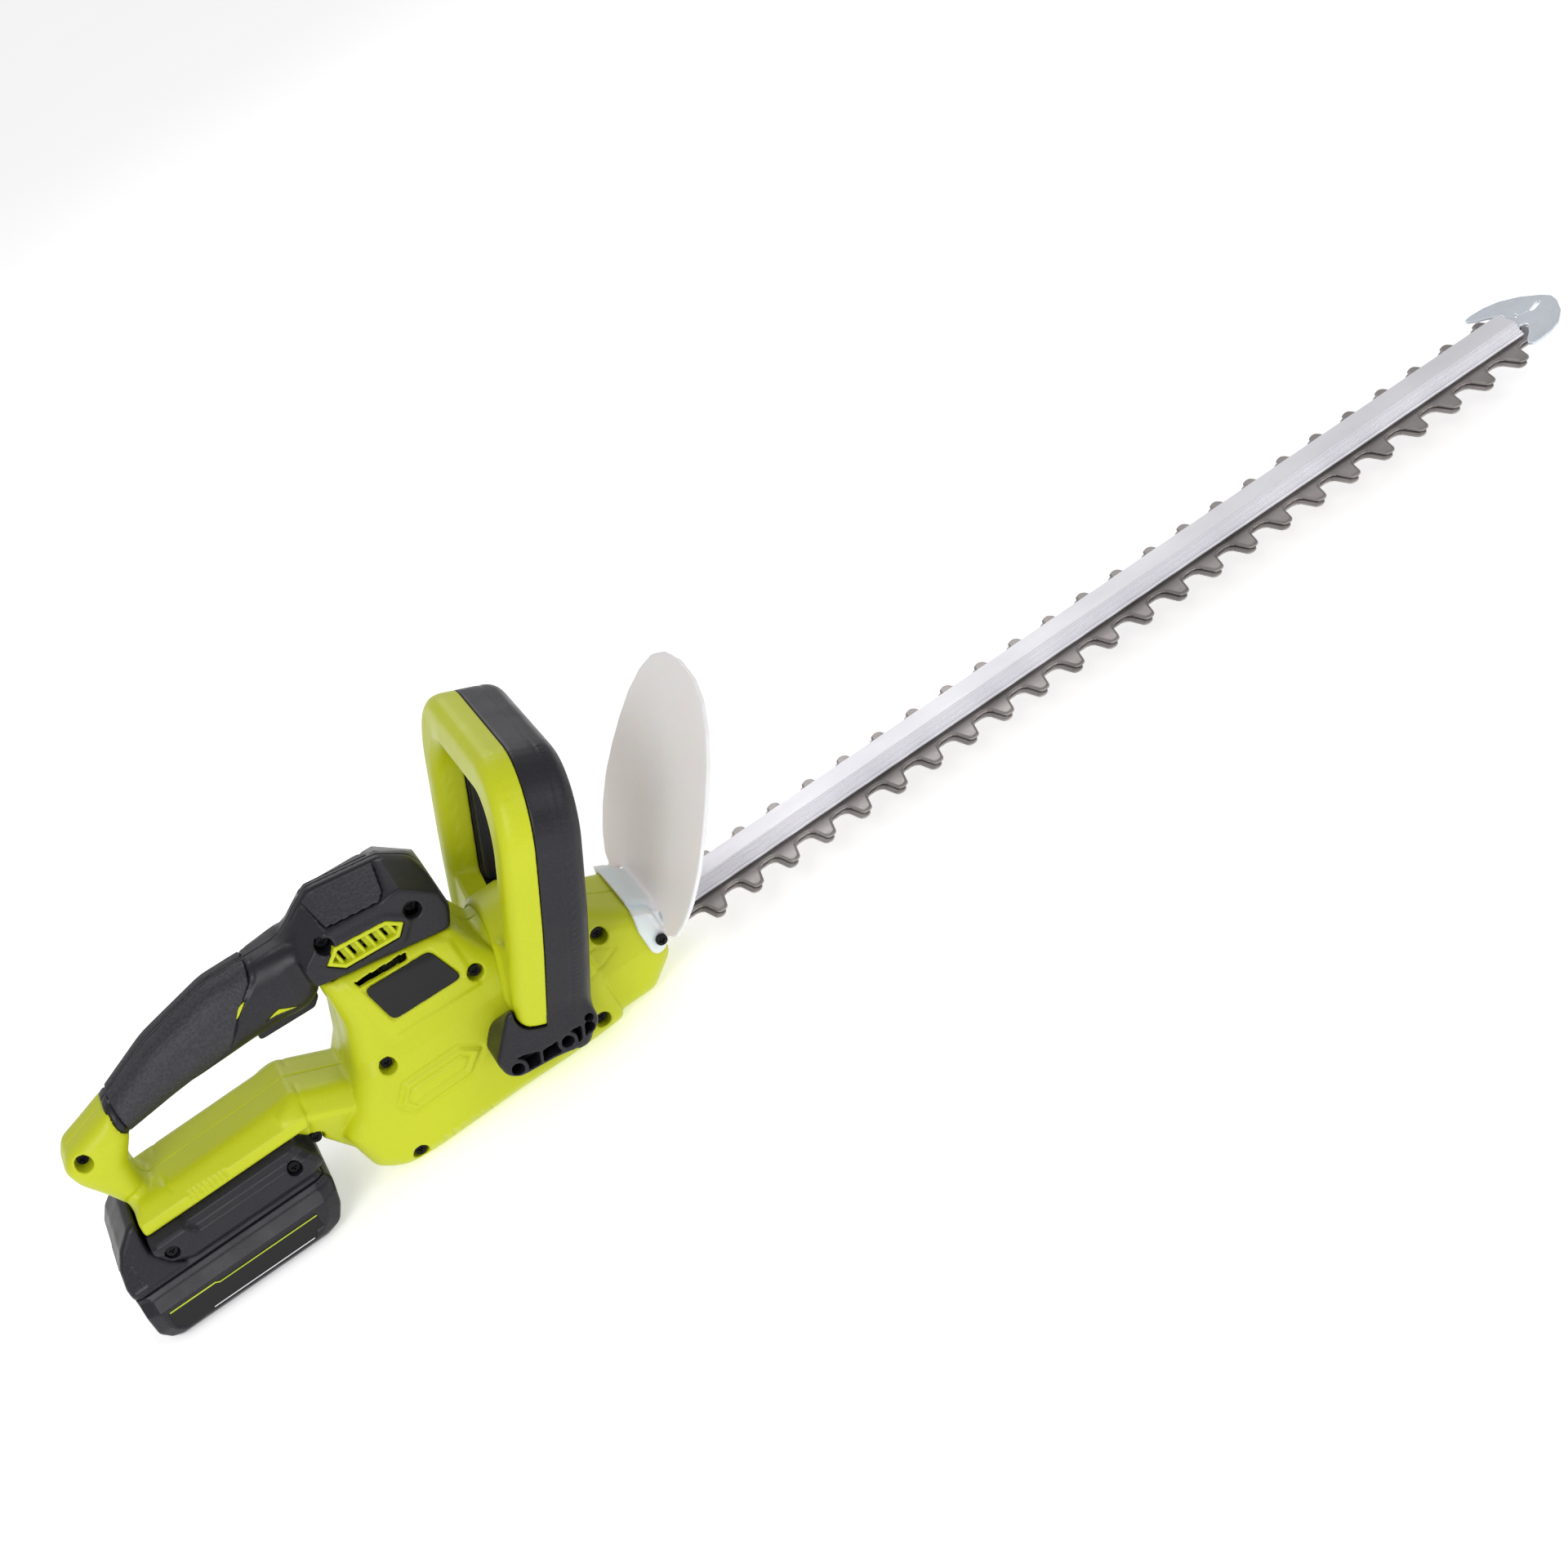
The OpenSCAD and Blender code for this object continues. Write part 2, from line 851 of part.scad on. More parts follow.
// Motor, upright in the hump
module motor_can() {
    color("gray")
        translate([motor_x, 0, motor_base_z()])
            difference() {
                cylinder(h = motor_len - 4, d = motor_d);
                translate([0, 0, 2])
                    cylinder(h = motor_len, d = motor_d - 3);
                translate([0, 0, -1])
                    cylinder(h = 5, d = motor_shaft_d + 0.1);
            }
}

module motor_cap() {
    color("black")
        translate([motor_x, 0, motor_base_z() + motor_len - 4])
            difference() {
                cylinder(h = 4, d = motor_d);
                translate([0, 0, -1])
                    cylinder(h = 6, d = motor_shaft_d + 0.1);
            }
}

module motor_magnets() {
    color("darkgray")
        translate([motor_x, 0, motor_base_z() + 8])
            difference() {
                cylinder(h = 38, d = motor_d - 3.2);
                translate([0, 0, -1])
                    cylinder(h = 40, d = motor_d - 9);
                translate([-5, -30, -1])
                    cube([10, 60, 40]);
            }
}

module armature() {
    slots = 5;
    color("peru")
        translate([motor_x, 0, motor_base_z() + 10])
            difference() {
                cylinder(h = 34, d = motor_d - 10);
                for (i = [0:slots - 1])
                    rotate([0, 0, i * 360 / slots])
                        translate([8, -1, -1])
                            cube([10, 2, 40]);
                translate([0, 0, -1])
                    cylinder(h = 40, d = motor_shaft_d);
            }
}

module motor_shaft() {
    color(steel)
        translate([motor_x, 0, gear_z - 1])
            cylinder(h = fan_z + 9 - gear_z, d = motor_shaft_d);
}

module motor_fan() {
    blades = 9;
    color("white")
        translate([motor_x, 0, fan_z])
            difference() {
                union() {
                    cylinder(h = 1.5, d = fan_d);
                    cylinder(h = 7, d = 9);
                    for (i = [0:blades - 1])
                        rotate([0, 0, i * 360 / blades])
                            translate([3, -0.6, 0])
                                cube([fan_d / 2 - 4, 1.2, 7]);
                }
                translate([0, 0, -1])
                    cylinder(h = 9, d = motor_shaft_d);
            }
}

// Outline of a spur gear with straight-sided teeth
module gear_outline(count, phase) {
    root = count * gear_module / 2 - 1.15 * gear_module;
    tip = count * gear_module / 2 + 0.75 * gear_module;
    step = 360 / count;
    polygon([
        for (i = [0:count - 1])
        each [
            root * [cos((i - 0.30) * step + phase), sin((i - 0.30) * step + phase)],
            tip * [cos((i - 0.13) * step + phase), sin((i - 0.13) * step + phase)],
            tip * [cos((i + 0.13) * step + phase), sin((i + 0.13) * step + phase)],
            root * [cos((i + 0.30) * step + phase), sin((i + 0.30) * step + phase)]
        ]
    ]);
}

module pinion() {
    color(steel)
        translate([motor_x, 0, gear_z])
            difference() {
                linear_extrude(gear_t + 2)
                    gear_outline(pinion_teeth, 0);
                translate([0, 0, -1])
                    cylinder(h = gear_t + 4, d = motor_shaft_d);
            }
}

module crank_gear() {
    lightening = 6;
    color(steel)
        translate([crank_x, 0, gear_z])
            difference() {
                linear_extrude(gear_t)
                    gear_outline(gear_teeth, 180 / gear_teeth);
                translate([0, 0, -1])
                    cylinder(h = gear_t + 2, d = crank_shaft_d);
                for (i = [0:lightening - 1])
                    rotate([0, 0, i * 360 / lightening])
                        translate([14, 0, -1])
                            cylinder(h = gear_t + 2, d = 7);
            }
}

module crank_shaft() {
    color(steel)
        translate([crank_x, 0, base_z + 0.6])
            cylinder(h = case_roof_z - 0.5 - base_z - 0.6, d = crank_shaft_d);
}

// Angle of the upper eccentric at rest, where the blades stand a little apart
rest_angle = acos(rest_shift / eccentric_throw);

module eccentric(z, h, angle) {
    color(steel)
        translate([crank_x, 0, z])
            difference() {
                rotate([0, 0, angle])
                    translate([eccentric_throw, 0, 0])
                        cylinder(h = h, d = eccentric_d);
                translate([0, 0, -1])
                    cylinder(h = h + 2, d = crank_shaft_d);
            }
}

module upper_eccentric() {
    eccentric(upper_bottom - run_gap / 2, gear_z - upper_bottom + run_gap / 2, rest_angle);
}

module lower_eccentric() {
    eccentric(lower_bottom - 1, upper_bottom - run_gap / 2 - lower_bottom + 1, rest_angle + 180);
}

case_x0 = 128;
case_x1 = 199;
case_half_w = 31;
base_half_w = 30.4;
tongue_t = 4;
base_z = 10;

module gear_case() {
    color("gray")
        difference() {
            union() {
                translate([case_x0, -case_half_w, 30])
                    cube([case_x1 - case_x0, 2 * case_half_w, case_roof_z - 30]);
                // Tongue over the blade bar
                translate([case_x1 - 1, -14, bar_top_z])
                    cube([34, 28, tongue_t]);
            }
            translate([case_x0 + 2.5, 2.5 - case_half_w, 29])
                cube([case_x1 - case_x0 - 5, 2 * case_half_w - 5, case_roof_z - case_roof_t - 29]);
            translate([motor_x, 0, 20])
                cylinder(h = 40, d = 14);
            translate([crank_x, 0, case_roof_z - bearing_t])
                cylinder(h = bearing_t + 1, d = bearing_d);
            translate([crank_x, 0, 20])
                cylinder(h = 40, d = 14);
            for (x = bar_screw_x)
                translate([x, 0, 30])
                    cylinder(h = 30, d = 4.4);
            // Way for the bar's rear end
            translate([case_x1 - 4, -bar_w / 2 - 1, 29])
                cube([10, bar_w + 2, bar_top_z - 29]);
            for (place = case_screw_places)
                translate([place[0], place[1], 20])
                    cylinder(h = 40, d = 3.4);
        }
}
bar_screw_x = [212, 226];
case_screw_places = [[case_x0 + 4.5, -26.5], [case_x0 + 4.5, 26.5], [case_x1 - 4.5, -26.5], [case_x1 - 4.5, 26.5]];

module gear_base() {
    color("gray")
        difference() {
            union() {
                translate([case_x0, -base_half_w, base_z])
                    cube([case_x1 - case_x0 - 0.8, 2 * base_half_w, 3]);
                for (place = case_screw_places)
                    translate([place[0], place[1], base_z])
                        cylinder(h = 30 - base_z, d = 8);
                translate([crank_x, 0, base_z])
                    cylinder(h = 7, d = 18);
            }
            translate([crank_x, 0, base_z + 0.4])
                cylinder(h = 10, d = 12);
            for (place = case_screw_places)
                translate([place[0], place[1], 0])
                    cylinder(h = 40, d = 3);
        }
}

module crank_bush() {
    color("goldenrod")
        translate([crank_x, 0, base_z + 0.4])
            difference() {
                cylinder(h = 6.6, d = 12);
                translate([0, 0, -1])
                    cylinder(h = 9, d = crank_shaft_d + 0.1);
            }
}

module crank_bearing() {
    color(steel)
        translate([crank_x, 0, case_roof_z - bearing_t])
            difference() {
                cylinder(h = bearing_t - 0.2, d = bearing_d);
                translate([0, 0, -1])
                    cylinder(h = bearing_t + 2, d = crank_shaft_d + 0.1);
            }
}

module gear_case_screws() {
    color(steel)
        for (place = case_screw_places)
            translate([place[0], place[1], 12]) {
                cylinder(h = case_roof_z - 12, d = 3);
                translate([0, 0, case_roof_z - 12])
                    cylinder(h = 2.5, d = 6);
            }
}

// One tooth, from its root on the spine round its tip, pointing along +Y at x
function tooth(x) = concat(
    [[x + 9, spine_w / 2], [x + 5.6, spine_w / 2 + 2.8]],
    arc([x, blade_w / 2 - tooth_tip_r], tooth_tip_r, 8, 172, 6),
    [[x - 5.6, spine_w / 2 + 2.8], [x - 9, spine_w / 2]]
);

// Outline of a blade in its middle position
blade_start = crank_x - 28;
yoke_end = crank_x + 29;
blade_outline = concat(
    [[blade_start, yoke_w / 2], [blade_start, -yoke_w / 2], [yoke_end, -yoke_w / 2]],
    [[yoke_end + 4, -spine_w / 2]],
    [for (i = [0:tooth_count - 1]) each
        [for (p = reversed(tooth(first_tooth_x + i * tooth_pitch))) [p[0], -p[1]]]],
    [[blade_tip_x, -spine_w / 2], [blade_tip_x, spine_w / 2]],
    [for (i = [tooth_count - 1:-1:0]) each tooth(first_tooth_x + (i + 0.5) * tooth_pitch)],
    [[yoke_end + 4, spine_w / 2], [yoke_end, yoke_w / 2]]
);

// A blade lying flat at height z, with its bolt slots and the slot that its eccentric turns in
module blade(z, shift) {
    color(steel)
        translate([shift, 0, z])
            difference() {
                linear_extrude(blade_t)
                    polygon(blade_outline);
                translate([crank_x - yoke_slot_r, -yoke_slot_w / 2, -1])
                    cube([2 * yoke_slot_r, yoke_slot_w, blade_t + 2]);
                for (i = [0:bolt_count - 1])
                    translate([bolt_x(i), 0, -1])
                        bolt_slot();
            }
}

module bolt_slot() {
    slot_r = bush_d / 2 + run_gap;
    reach = eccentric_throw + 0.1;
    for (end = [-reach, reach])
        translate([end, 0, 0])
            cylinder(h = blade_t + 2, r = slot_r);
    translate([-reach, -slot_r, 0])
        cube([2 * reach, 2 * slot_r, blade_t + 2]);
}

module upper_blade() {
    blade(upper_bottom, rest_shift);
}

module lower_blade() {
    blade(lower_bottom, -rest_shift);
}

module bar_section() {
    ridge = 0.5;
    polygon(concat(
        [[-bar_foot_w / 2, bar_z], [bar_foot_w / 2, bar_z], [bar_foot_w / 2, bar_lip_z], [bar_w / 2, bar_lip_z]],
        bar_ridges(1, ridge),
        [[bar_top_w / 2, bar_top_z], [-bar_top_w / 2, bar_top_z]],
        [for (p = reversed(bar_ridges(1, ridge))) [-p[0], p[1]]],
        [[-bar_w / 2, bar_lip_z], [-bar_foot_w / 2, bar_lip_z]]
    ));
}

function reversed(list) = [for (i = [len(list) - 1:-1:0]) list[i]];

// Stepped ridges up the sloping side of the bar
ridge_count = 4;
function bar_ridges(side, ridge) = [
    for (i = [0:ridge_count - 1])
    let (
        slope = [bar_top_w / 2 - bar_w / 2, bar_top_z - bar_lip_z - 0.8],
        out = [slope[1], -slope[0]] / norm(slope) * ridge,
        foot = [bar_w / 2, bar_lip_z + 0.8],
        step = 1 / ridge_count
    )
    each [foot + slope * (i + 0.1) * step, foot + slope * (i + 0.85) * step + (i < ridge_count - 1 ? -out : [0, 0])]
];

module blade_bar() {
    cavity_w = 14;
    color("whitesmoke")
        difference() {
            translate([bar_start, 0, 0])
                rotate([90, 0, 90])
                    linear_extrude(bar_end - bar_start)
                        difference() {
                            bar_section();
                            // Channel for the nuts and the tip guard's tongue
                            translate([-cavity_w / 2, bar_z + 2])
                                square([cavity_w, 4.6]);
                        }
            for (i = [0:bolt_count - 1])
                translate([bolt_x(i), 0, bar_z - 1])
                    cylinder(h = 4, d = bolt_d);
            for (x = bar_screw_x)
                translate([x, 0, bar_top_z - 2.5])
                    cylinder(h = 5, d = 4);
            // Bevelled far corner of the front end
            for (side = [-1, 1])
                translate([bar_end, side * bar_w / 2, bar_z - 1])
                    rotate([0, 0, 45])
                        translate([-2, -2, 0])
                            cube([4, 4, 12]);
        }
}

module blade_bolts() {
    color("gray")
        for (i = [0:bolt_count - 1])
            translate([bolt_x(i), 0, lower_bottom - run_gap]) {
                cylinder(h = bar_z + 6 - lower_bottom, d = bolt_d);
                translate([0, 0, -1.6])
                    cylinder(h = 1.6, d = bolt_head_d);
                translate([0, 0, -1.6])
                    intersection() {
                        translate([0, 0, 4.6])
                            sphere(r = 7, $fn = 32);
                        translate([0, 0, -bolt_head_t])
                            cylinder(h = bolt_head_t, d = bolt_head_d);
                    }
            }
}

module blade_bushes() {
    color(steel)
        for (i = [0:bolt_count - 1])
            translate([bolt_x(i), 0, lower_bottom - run_gap])
                difference() {
                    cylinder(h = bar_z - lower_bottom + run_gap, d = bush_d);
                    translate([0, 0, -1])
                        cylinder(h = 12, d = bolt_d);
                }
}

module blade_nuts() {
    color(steel)
        for (i = [0:bolt_count - 2])
            translate([bolt_x(i), 0, bar_z + 2])
                difference() {
                    cylinder(h = 3.8, d = 9.2, $fn = 6);
                    translate([0, 0, -1])
                        cylinder(h = 6, d = bolt_d);
                }
}

module bar_screws() {
    color(steel)
        for (x = bar_screw_x)
            translate([x, 0, bar_top_z - 2.4]) {
                cylinder(h = 2.4 + tongue_t, d = 4);
                translate([0, 0, 2.4 + tongue_t])
                    cylinder(h = 2.2, d = 7);
            }
}

// Fish-tail plate that shields the blade tip
tip_half_w = 29.5;
tip_front_x = 817;

module tip_outline() {
    difference() {
        union() {
            // Crescent head
            intersection() {
                translate([tip_front_x - 34, 0])
                    circle(r = 34, $fn = 96);
                translate([789, -tip_half_w])
                    square([60, 2 * tip_half_w]);
            }
            // Tongue into the bar
            translate([bolt_x(bolt_count - 1) - 8, -tongue_w / 2])
                square([60, tongue_w]);
        }
        // Hollows behind the two lobes
        for (side = [-1, 1])
            translate([784.5, side * 18.6])
                circle(r = 11.6, $fn = 48);
        for (side = [-1, 1])
            translate([770, side > 0 ? 7.2 : -40])
                square([15, 32.8]);
        // Hanging slot
        translate([808, 3])
            circle(r = 2, $fn = 24);
        translate([808, -3])
            circle(r = 2, $fn = 24);
        translate([806, -3])
            square([4, 6]);
        translate([799, -4])
            square([0.8, 8]);
        translate([bolt_x(bolt_count - 1), 0])
            circle(d = bolt_d + 0.2);
    }
}

module tip_guard() {
    color("lightsteelblue")
        translate([0, 0, tongue_z])
            linear_extrude(tip_t)
                tip_outline();
}

// Translucent guard in front of the hands
guard_foot = [257, 46];

module in_guard() {
    translate([guard_foot[0], 0, guard_foot[1]])
        rotate([0, guard_lean, 0])
            children();
}

function guard_half() = [
    [33, -4], [38, -8.5], [47, -9], [57, -5], [66, 4], [71, 18], [71.5, 32], [69, 50], [65, 66],
    [58, 82], [47, 97], [35, 107], [21, 112.5]
];

module hand_guard() {
    color("whitesmoke") {
        in_guard()
            translate([-guard_t / 2, 0, 0])
                rotate([90, 0, 90])
                    linear_extrude(guard_t)
                        polygon(concat(
                            [[-30, -4], [30, -4]], guard_half(),
                            [[0, 114.5]],
                            [for (p = reversed(guard_half())) [-p[0], p[1]]]
                        ));
        guard_saddle();
    }
}

// Collar of the guard that wraps the nose
module guard_saddle() {
    difference() {
        union() {
            for (side = [-1, 1])
                on_side(side)
                    intersection() {
                        bevelled_side(inset(nose_side, -guard_t), nose_w / 2 + guard_t, 9, 5);
                        side_prism([[243, 26], [253.6, 33], [253.6, 60], [240, 60], [238, 50]], -1, 40);
                    }
            // Shelf that carries the plate in front of the nose
            side_prism([
                [242, 52.5], [252, 47.4], [258.5, 48], [262, 52.3], [254, 51.4], [242, 57]
            ], -30, 30);
        }
        for (side = [-1, 1])
            on_side(side)
                bevelled_side(inset(nose_side, -fit_gap), nose_w / 2 + fit_gap, 9, 5);
        translate([200, -17.5, 10])
            cube([80, 35, bar_top_z - 9]);
        for (side = [-1, 1])
            on_side(side)
                cross_cylinder(guard_screw_place[0], guard_screw_place[1], 20, 40, 3.2);
    }
}

module guard_screws() {
    color("black")
        for (side = [-1, 1])
            on_side(side) {
                cross_cylinder(guard_screw_place[0], guard_screw_place[1], nose_w / 2 + 2.5, nose_w / 2 + 4.5, 6);
                cross_cylinder(guard_screw_place[0], guard_screw_place[1], nose_w / 2 - 8, nose_w / 2 + 2.6, 3);
            }
}

module machine_screw(place, head_y, length) {
    difference() {
        union() {
            cross_cylinder(place[0], place[1], head_y - length, head_y, screw_d);
            cross_cylinder(place[0], place[1], head_y, head_y + 2.2, screw_head_d);
        }
        translate([place[0] - 1.5, head_y + 1.2, place[1] - 0.4])
            cube([3, 2, 0.8]);
        translate([place[0] - 0.4, head_y + 1.2, place[1] - 1.5])
            cube([0.8, 2, 3]);
    }
}

module housing_screws() {
    color("black")
        on_side(-1) {
            for (i = [0:len(housing_screw_places) - 1])
                machine_screw(housing_screw_places[i], sunk_head_y(screw_face_y(i)), 14);
            for (place = hump_screw_places)
                machine_screw(place, sunk_head_y(hump_w / 2), 14);
        }
}

module loop_screws() {
    color("black")
        for (side = [-1, 1])
            on_side(side)
                for (place = loop_screw_places)
                    machine_screw(place, 41, 4.8);
}

module dock_screws() {
    color("black")
        for (side = [-1, 1])
            on_side(side)
                for (x = dock_screw_x)
                    machine_screw([x, dock_screw_z], 31, 4.7);
}

module control_board() {
    color("green")
        translate([113, -20, 60])
            cube([1.6, 40, 30]);
}

housing_left();
housing_right();
grip_left();
grip_right();
grip_pads();
vent_grilles();
rating_plate();
loop_rear_shell();
loop_front_shell();
front_lever();
lever_springs();
front_switch();
trigger();
trigger_spring();
trigger_switch();
trigger_pin();
dock();
dock_terminals();
battery_lower();
battery_upper();
battery_panels();
battery_cells();
battery_board();
battery_contacts();
battery_latch();
latch_spring();
motor_can();
motor_cap();
motor_magnets();
armature();
motor_shaft();
motor_fan();
pinion();
gear_case();
gear_base();
crank_gear();
crank_shaft();
upper_eccentric();
lower_eccentric();
crank_bearing();
crank_bush();
upper_blade();
lower_blade();
blade_bar();
blade_bolts();
blade_bushes();
blade_nuts();
bar_screws();
tip_guard();
hand_guard();
guard_screws();
housing_screws();
loop_screws();
dock_screws();
gear_case_screws();
control_board();
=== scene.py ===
import json
import math

import bmesh
import bpy
import numpy as np
import openvdb
from mathutils import Matrix, Vector
from mathutils.geometry import tessellate_polygon


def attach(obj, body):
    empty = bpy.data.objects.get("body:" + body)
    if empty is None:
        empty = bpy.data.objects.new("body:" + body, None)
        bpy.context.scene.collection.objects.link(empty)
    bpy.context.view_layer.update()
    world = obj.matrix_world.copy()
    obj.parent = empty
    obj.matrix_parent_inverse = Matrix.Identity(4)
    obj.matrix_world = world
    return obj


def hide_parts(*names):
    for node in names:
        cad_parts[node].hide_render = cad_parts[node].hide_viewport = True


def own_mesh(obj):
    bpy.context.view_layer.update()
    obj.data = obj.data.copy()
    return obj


# Looks of a cordless hedge trimmer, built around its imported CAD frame.
# Lengths are millimetres until a mesh is made. X runs along the blade, Y across and Z up, and
# the near side of the tool is -Y. Moulded pieces are signed distances on a grid, negative
# inside, which openvdb turns into meshes. Most are made for one side, where Y counts outwards.

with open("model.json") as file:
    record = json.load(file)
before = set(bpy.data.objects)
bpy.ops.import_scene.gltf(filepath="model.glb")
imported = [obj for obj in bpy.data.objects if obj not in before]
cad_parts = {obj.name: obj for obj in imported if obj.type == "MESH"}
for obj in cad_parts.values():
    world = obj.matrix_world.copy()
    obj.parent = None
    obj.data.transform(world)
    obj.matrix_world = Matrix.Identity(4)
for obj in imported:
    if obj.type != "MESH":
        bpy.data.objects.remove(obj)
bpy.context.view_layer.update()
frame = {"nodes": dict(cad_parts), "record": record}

MM = 0.001
STEP_BODY, STEP_LOOP = ((0.75, 0.75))
NEAR, FAR = -1, 1
WALL = 2.6
SEAM = 0.18  # gap between two mouldings
SCREW_POST_R = 5.4


# ---------------------------------------------------------------- solids on a grid

class Grid:
    """A block of space sampled every step mm. x, y and z are its points, as arrays that broadcast."""

    def __init__(self, low, high, step, turn=None):
        self.low, self.step = np.array(low, float), step
        u, v, w = (np.arange(a, b + step, step, dtype=np.float32) for a, b in zip(low, high))
        self.u, self.y, self.w = u[:, None, None], v[None, :, None], w[None, None, :]
        self.shape = (len(u), len(v), len(w))
        self.turn = turn
        self.x, self.z = turn.out(self.u, self.w) if turn else (self.u, self.w)


class Lean:
    """A frame that leans forward about Y: u is its own forward axis and w its own upward axis."""

    def __init__(self, foot, degrees):
        self.foot, angle = foot, math.radians(degrees)
        self.c, self.s = math.cos(angle), math.sin(angle)

    def out(self, u, w):
        return self.foot[0] + u * self.c + w * self.s, self.foot[1] - u * self.s + w * self.c


def to_segment(u, v, start, end):
    """Squared distance to the straight line from start to end."""
    (u0, v0), (u1, v1) = start, end
    du, dv = u1 - u0, v1 - v0
    t = np.clip(((u - u0) * du + (v - v0) * dv) / (du * du + dv * dv), 0, 1)
    return (u - u0 - t * du) ** 2 + (v - v0 - t * dv) ** 2


def polygon(u, v, points):
    """Distance to a polygon's outline, negative inside."""
    best, inside = np.float32(1e9), False
    for start, end in zip(points, points[1:] + points[:1]):
        best = np.minimum(best, to_segment(u, v, start, end))
        (u0, v0), (u1, v1) = start, end
        crossed = ((v0 > v) != (v1 > v)) & (u < u0 + (v - v0) * (u1 - u0) / ((v1 - v0) or 1e-9))
        inside = inside ^ crossed
    return (np.where(inside, -1, 1) * np.sqrt(best)).astype(np.float32)


def polyline(u, v, points):
    """Distance to an open line through points."""
    best = np.float32(1e9)
    for start, end in zip(points, points[1:]):
        best = np.minimum(best, to_segment(u, v, start, end))
    return np.sqrt(best)


def soften(flat, radius, step):
    """Rounds the corners of an outline, convex and concave alike, by blurring its distance."""
    flat = flat.copy()
    for _ in range(int(1.2 * (radius / step) ** 2 / 2) + 1):
        for axis in range(3):
            if flat.shape[axis] > 2:
                f = np.moveaxis(flat, axis, 0)
                f[1:-1] = 0.25 * f[:-2] + 0.5 * f[1:-1] + 0.25 * f[2:]
    return flat


def meet(a, b, k=0.0):
    """What is inside both, with a rounded edge of about k."""
    if k <= 0:
        return np.maximum(a, b)
    h = np.clip(0.5 - 0.5 * (b - a) / k, 0, 1)
    return b * (1 - h) + a * h + k * h * (1 - h)


def join(a, b, k=0.0):
    """What is inside either, with a fillet of about k."""
    return -meet(-a, -b, k)


def cut(a, b, k=0.0):
    """What is inside a and outside b."""
    return meet(a, -b, k)


def rounded(flat, side, r):
    """Inside an outline and inside a width, with the edge between them rounded by r."""
    a, b = flat + r, side + r
    return np.minimum(np.maximum(a, b), 0) + np.hypot(np.maximum(a, 0), np.maximum(b, 0)) - r


def evened(solid, step):
    """A field made into a true distance near its surface, where its slope is not one."""
    slope = np.sqrt(sum(d * d for d in np.gradient(solid, step)))
    return solid / np.maximum(slope, 0.6)


def table(z, rows):
    """A value that follows a list of (place, value) rows."""
    return np.interp(z, [r[0] for r in rows], [r[1] for r in rows]).astype(np.float32)


def rim(flat, reach, drop, power=2.0):
    """How far a face falls towards its outline: nothing at reach inside it, drop at the outline."""
    t = np.clip(1 + flat / reach, 0, 1)
    if power == 0:
        return drop * (1 - np.sqrt(1 - t * t))
    return drop * t ** power


def bump_up(distance, width, height):
    """A smooth raised line of the given width where distance is nought."""
    return height * np.exp(-(distance / (0.5 * width)) ** 2)


def plateau(flat, height, slope=1.0):
    """A raised area inside an outline, with sloping sides."""
    return height * np.clip(0.5 - flat / slope, 0, 1)


def cylinder_y(g, x, z, r, near, far=200.0):
    """A cylinder across the tool, from width near to width far."""
    return np.maximum(np.hypot(g.x - x, g.z - z) - r, np.maximum(near - g.y, g.y - far))


def block(g, x0, x1, y0, y1, z0, z1):
    return np.maximum(np.maximum(np.abs(g.x - (x0 + x1) / 2) - (x1 - x0) / 2,
                                 np.abs(g.y - (y0 + y1) / 2) - (y1 - y0) / 2),
                      np.abs(g.z - (z0 + z1) / 2) - (z1 - z0) / 2)


def linked(name, data):
    """A new object in the scene: a mesh, a lamp or a camera."""
    thing = bpy.data.objects.new(name, data)
    bpy.context.scene.collection.objects.link(thing)
    return thing


def meshed(name, g, solid, side=FAR, whole=False):
    """The mesh in metres of a solid, on the side given, or mirrored about Y = 0 to make it whole."""
    band = 3 * g.step
    samples = np.clip(np.broadcast_to(solid, g.shape), -band, band)
    low = g.low.copy()
    if whole:
        samples = np.concatenate([samples[:, :0:-1], samples], axis=1)
        low[1] = -g.step * (g.shape[1] - 1)
    padded = np.pad(samples, 1, constant_values=band)
    volume = openvdb.FloatGrid(band)
    volume.copyFromArray(padded.astype(np.float32))
    points, quads = volume.convertToQuads(0.0)
    p = (points - 1) * g.step + low
    if g.turn:
        x, z = g.turn.out(p[:, 0], p[:, 2])
        p = np.stack([x, p[:, 1], z], 1)
    p[:, 1] *= side
    a, b, c = (p[quads[:, i]] for i in (0, 1, 2))
    d = p[quads[:, 3]]
    if np.einsum("ij,ij->i", a, np.cross(b, c)).sum() + np.einsum("ij,ij->i", a, np.cross(c, d)).sum() < 0:
        quads = quads[:, ::-1]
    mesh = bpy.data.meshes.new(name)
    mesh.vertices.add(len(p))
    mesh.vertices.foreach_set("co", (p * MM).astype(np.float32).ravel())
    mesh.loops.add(quads.size)
    mesh.loops.foreach_set("vertex_index", np.ascontiguousarray(quads, dtype=np.int32).ravel())
    mesh.polygons.add(len(quads))
    mesh.polygons.foreach_set("loop_start", np.arange(len(quads), dtype=np.int32) * 4)
    mesh.update(calc_edges=True)
    mesh.validate()
    mesh.shade_smooth()
    return linked(name, mesh)


def both_sides(g, solid):
    """The meshes of a solid on the near side and on the far side."""
    return [meshed("side", g, solid, side) for side in (NEAR, FAR)]


def walls(bm, rings):
    """Faces between each ring of points and the next."""
    for a, b in zip(rings, rings[1:]):
        for k in range(len(a)):
            bm.faces.new((a[k - 1], a[k], b[k], b[k - 1]))


def from_bmesh(bm, name):
    """A new object in the scene, made of what bm holds."""
    mesh = bpy.data.meshes.new(name)
    bm.to_mesh(mesh)
    bm.free()
    return linked(name, mesh)


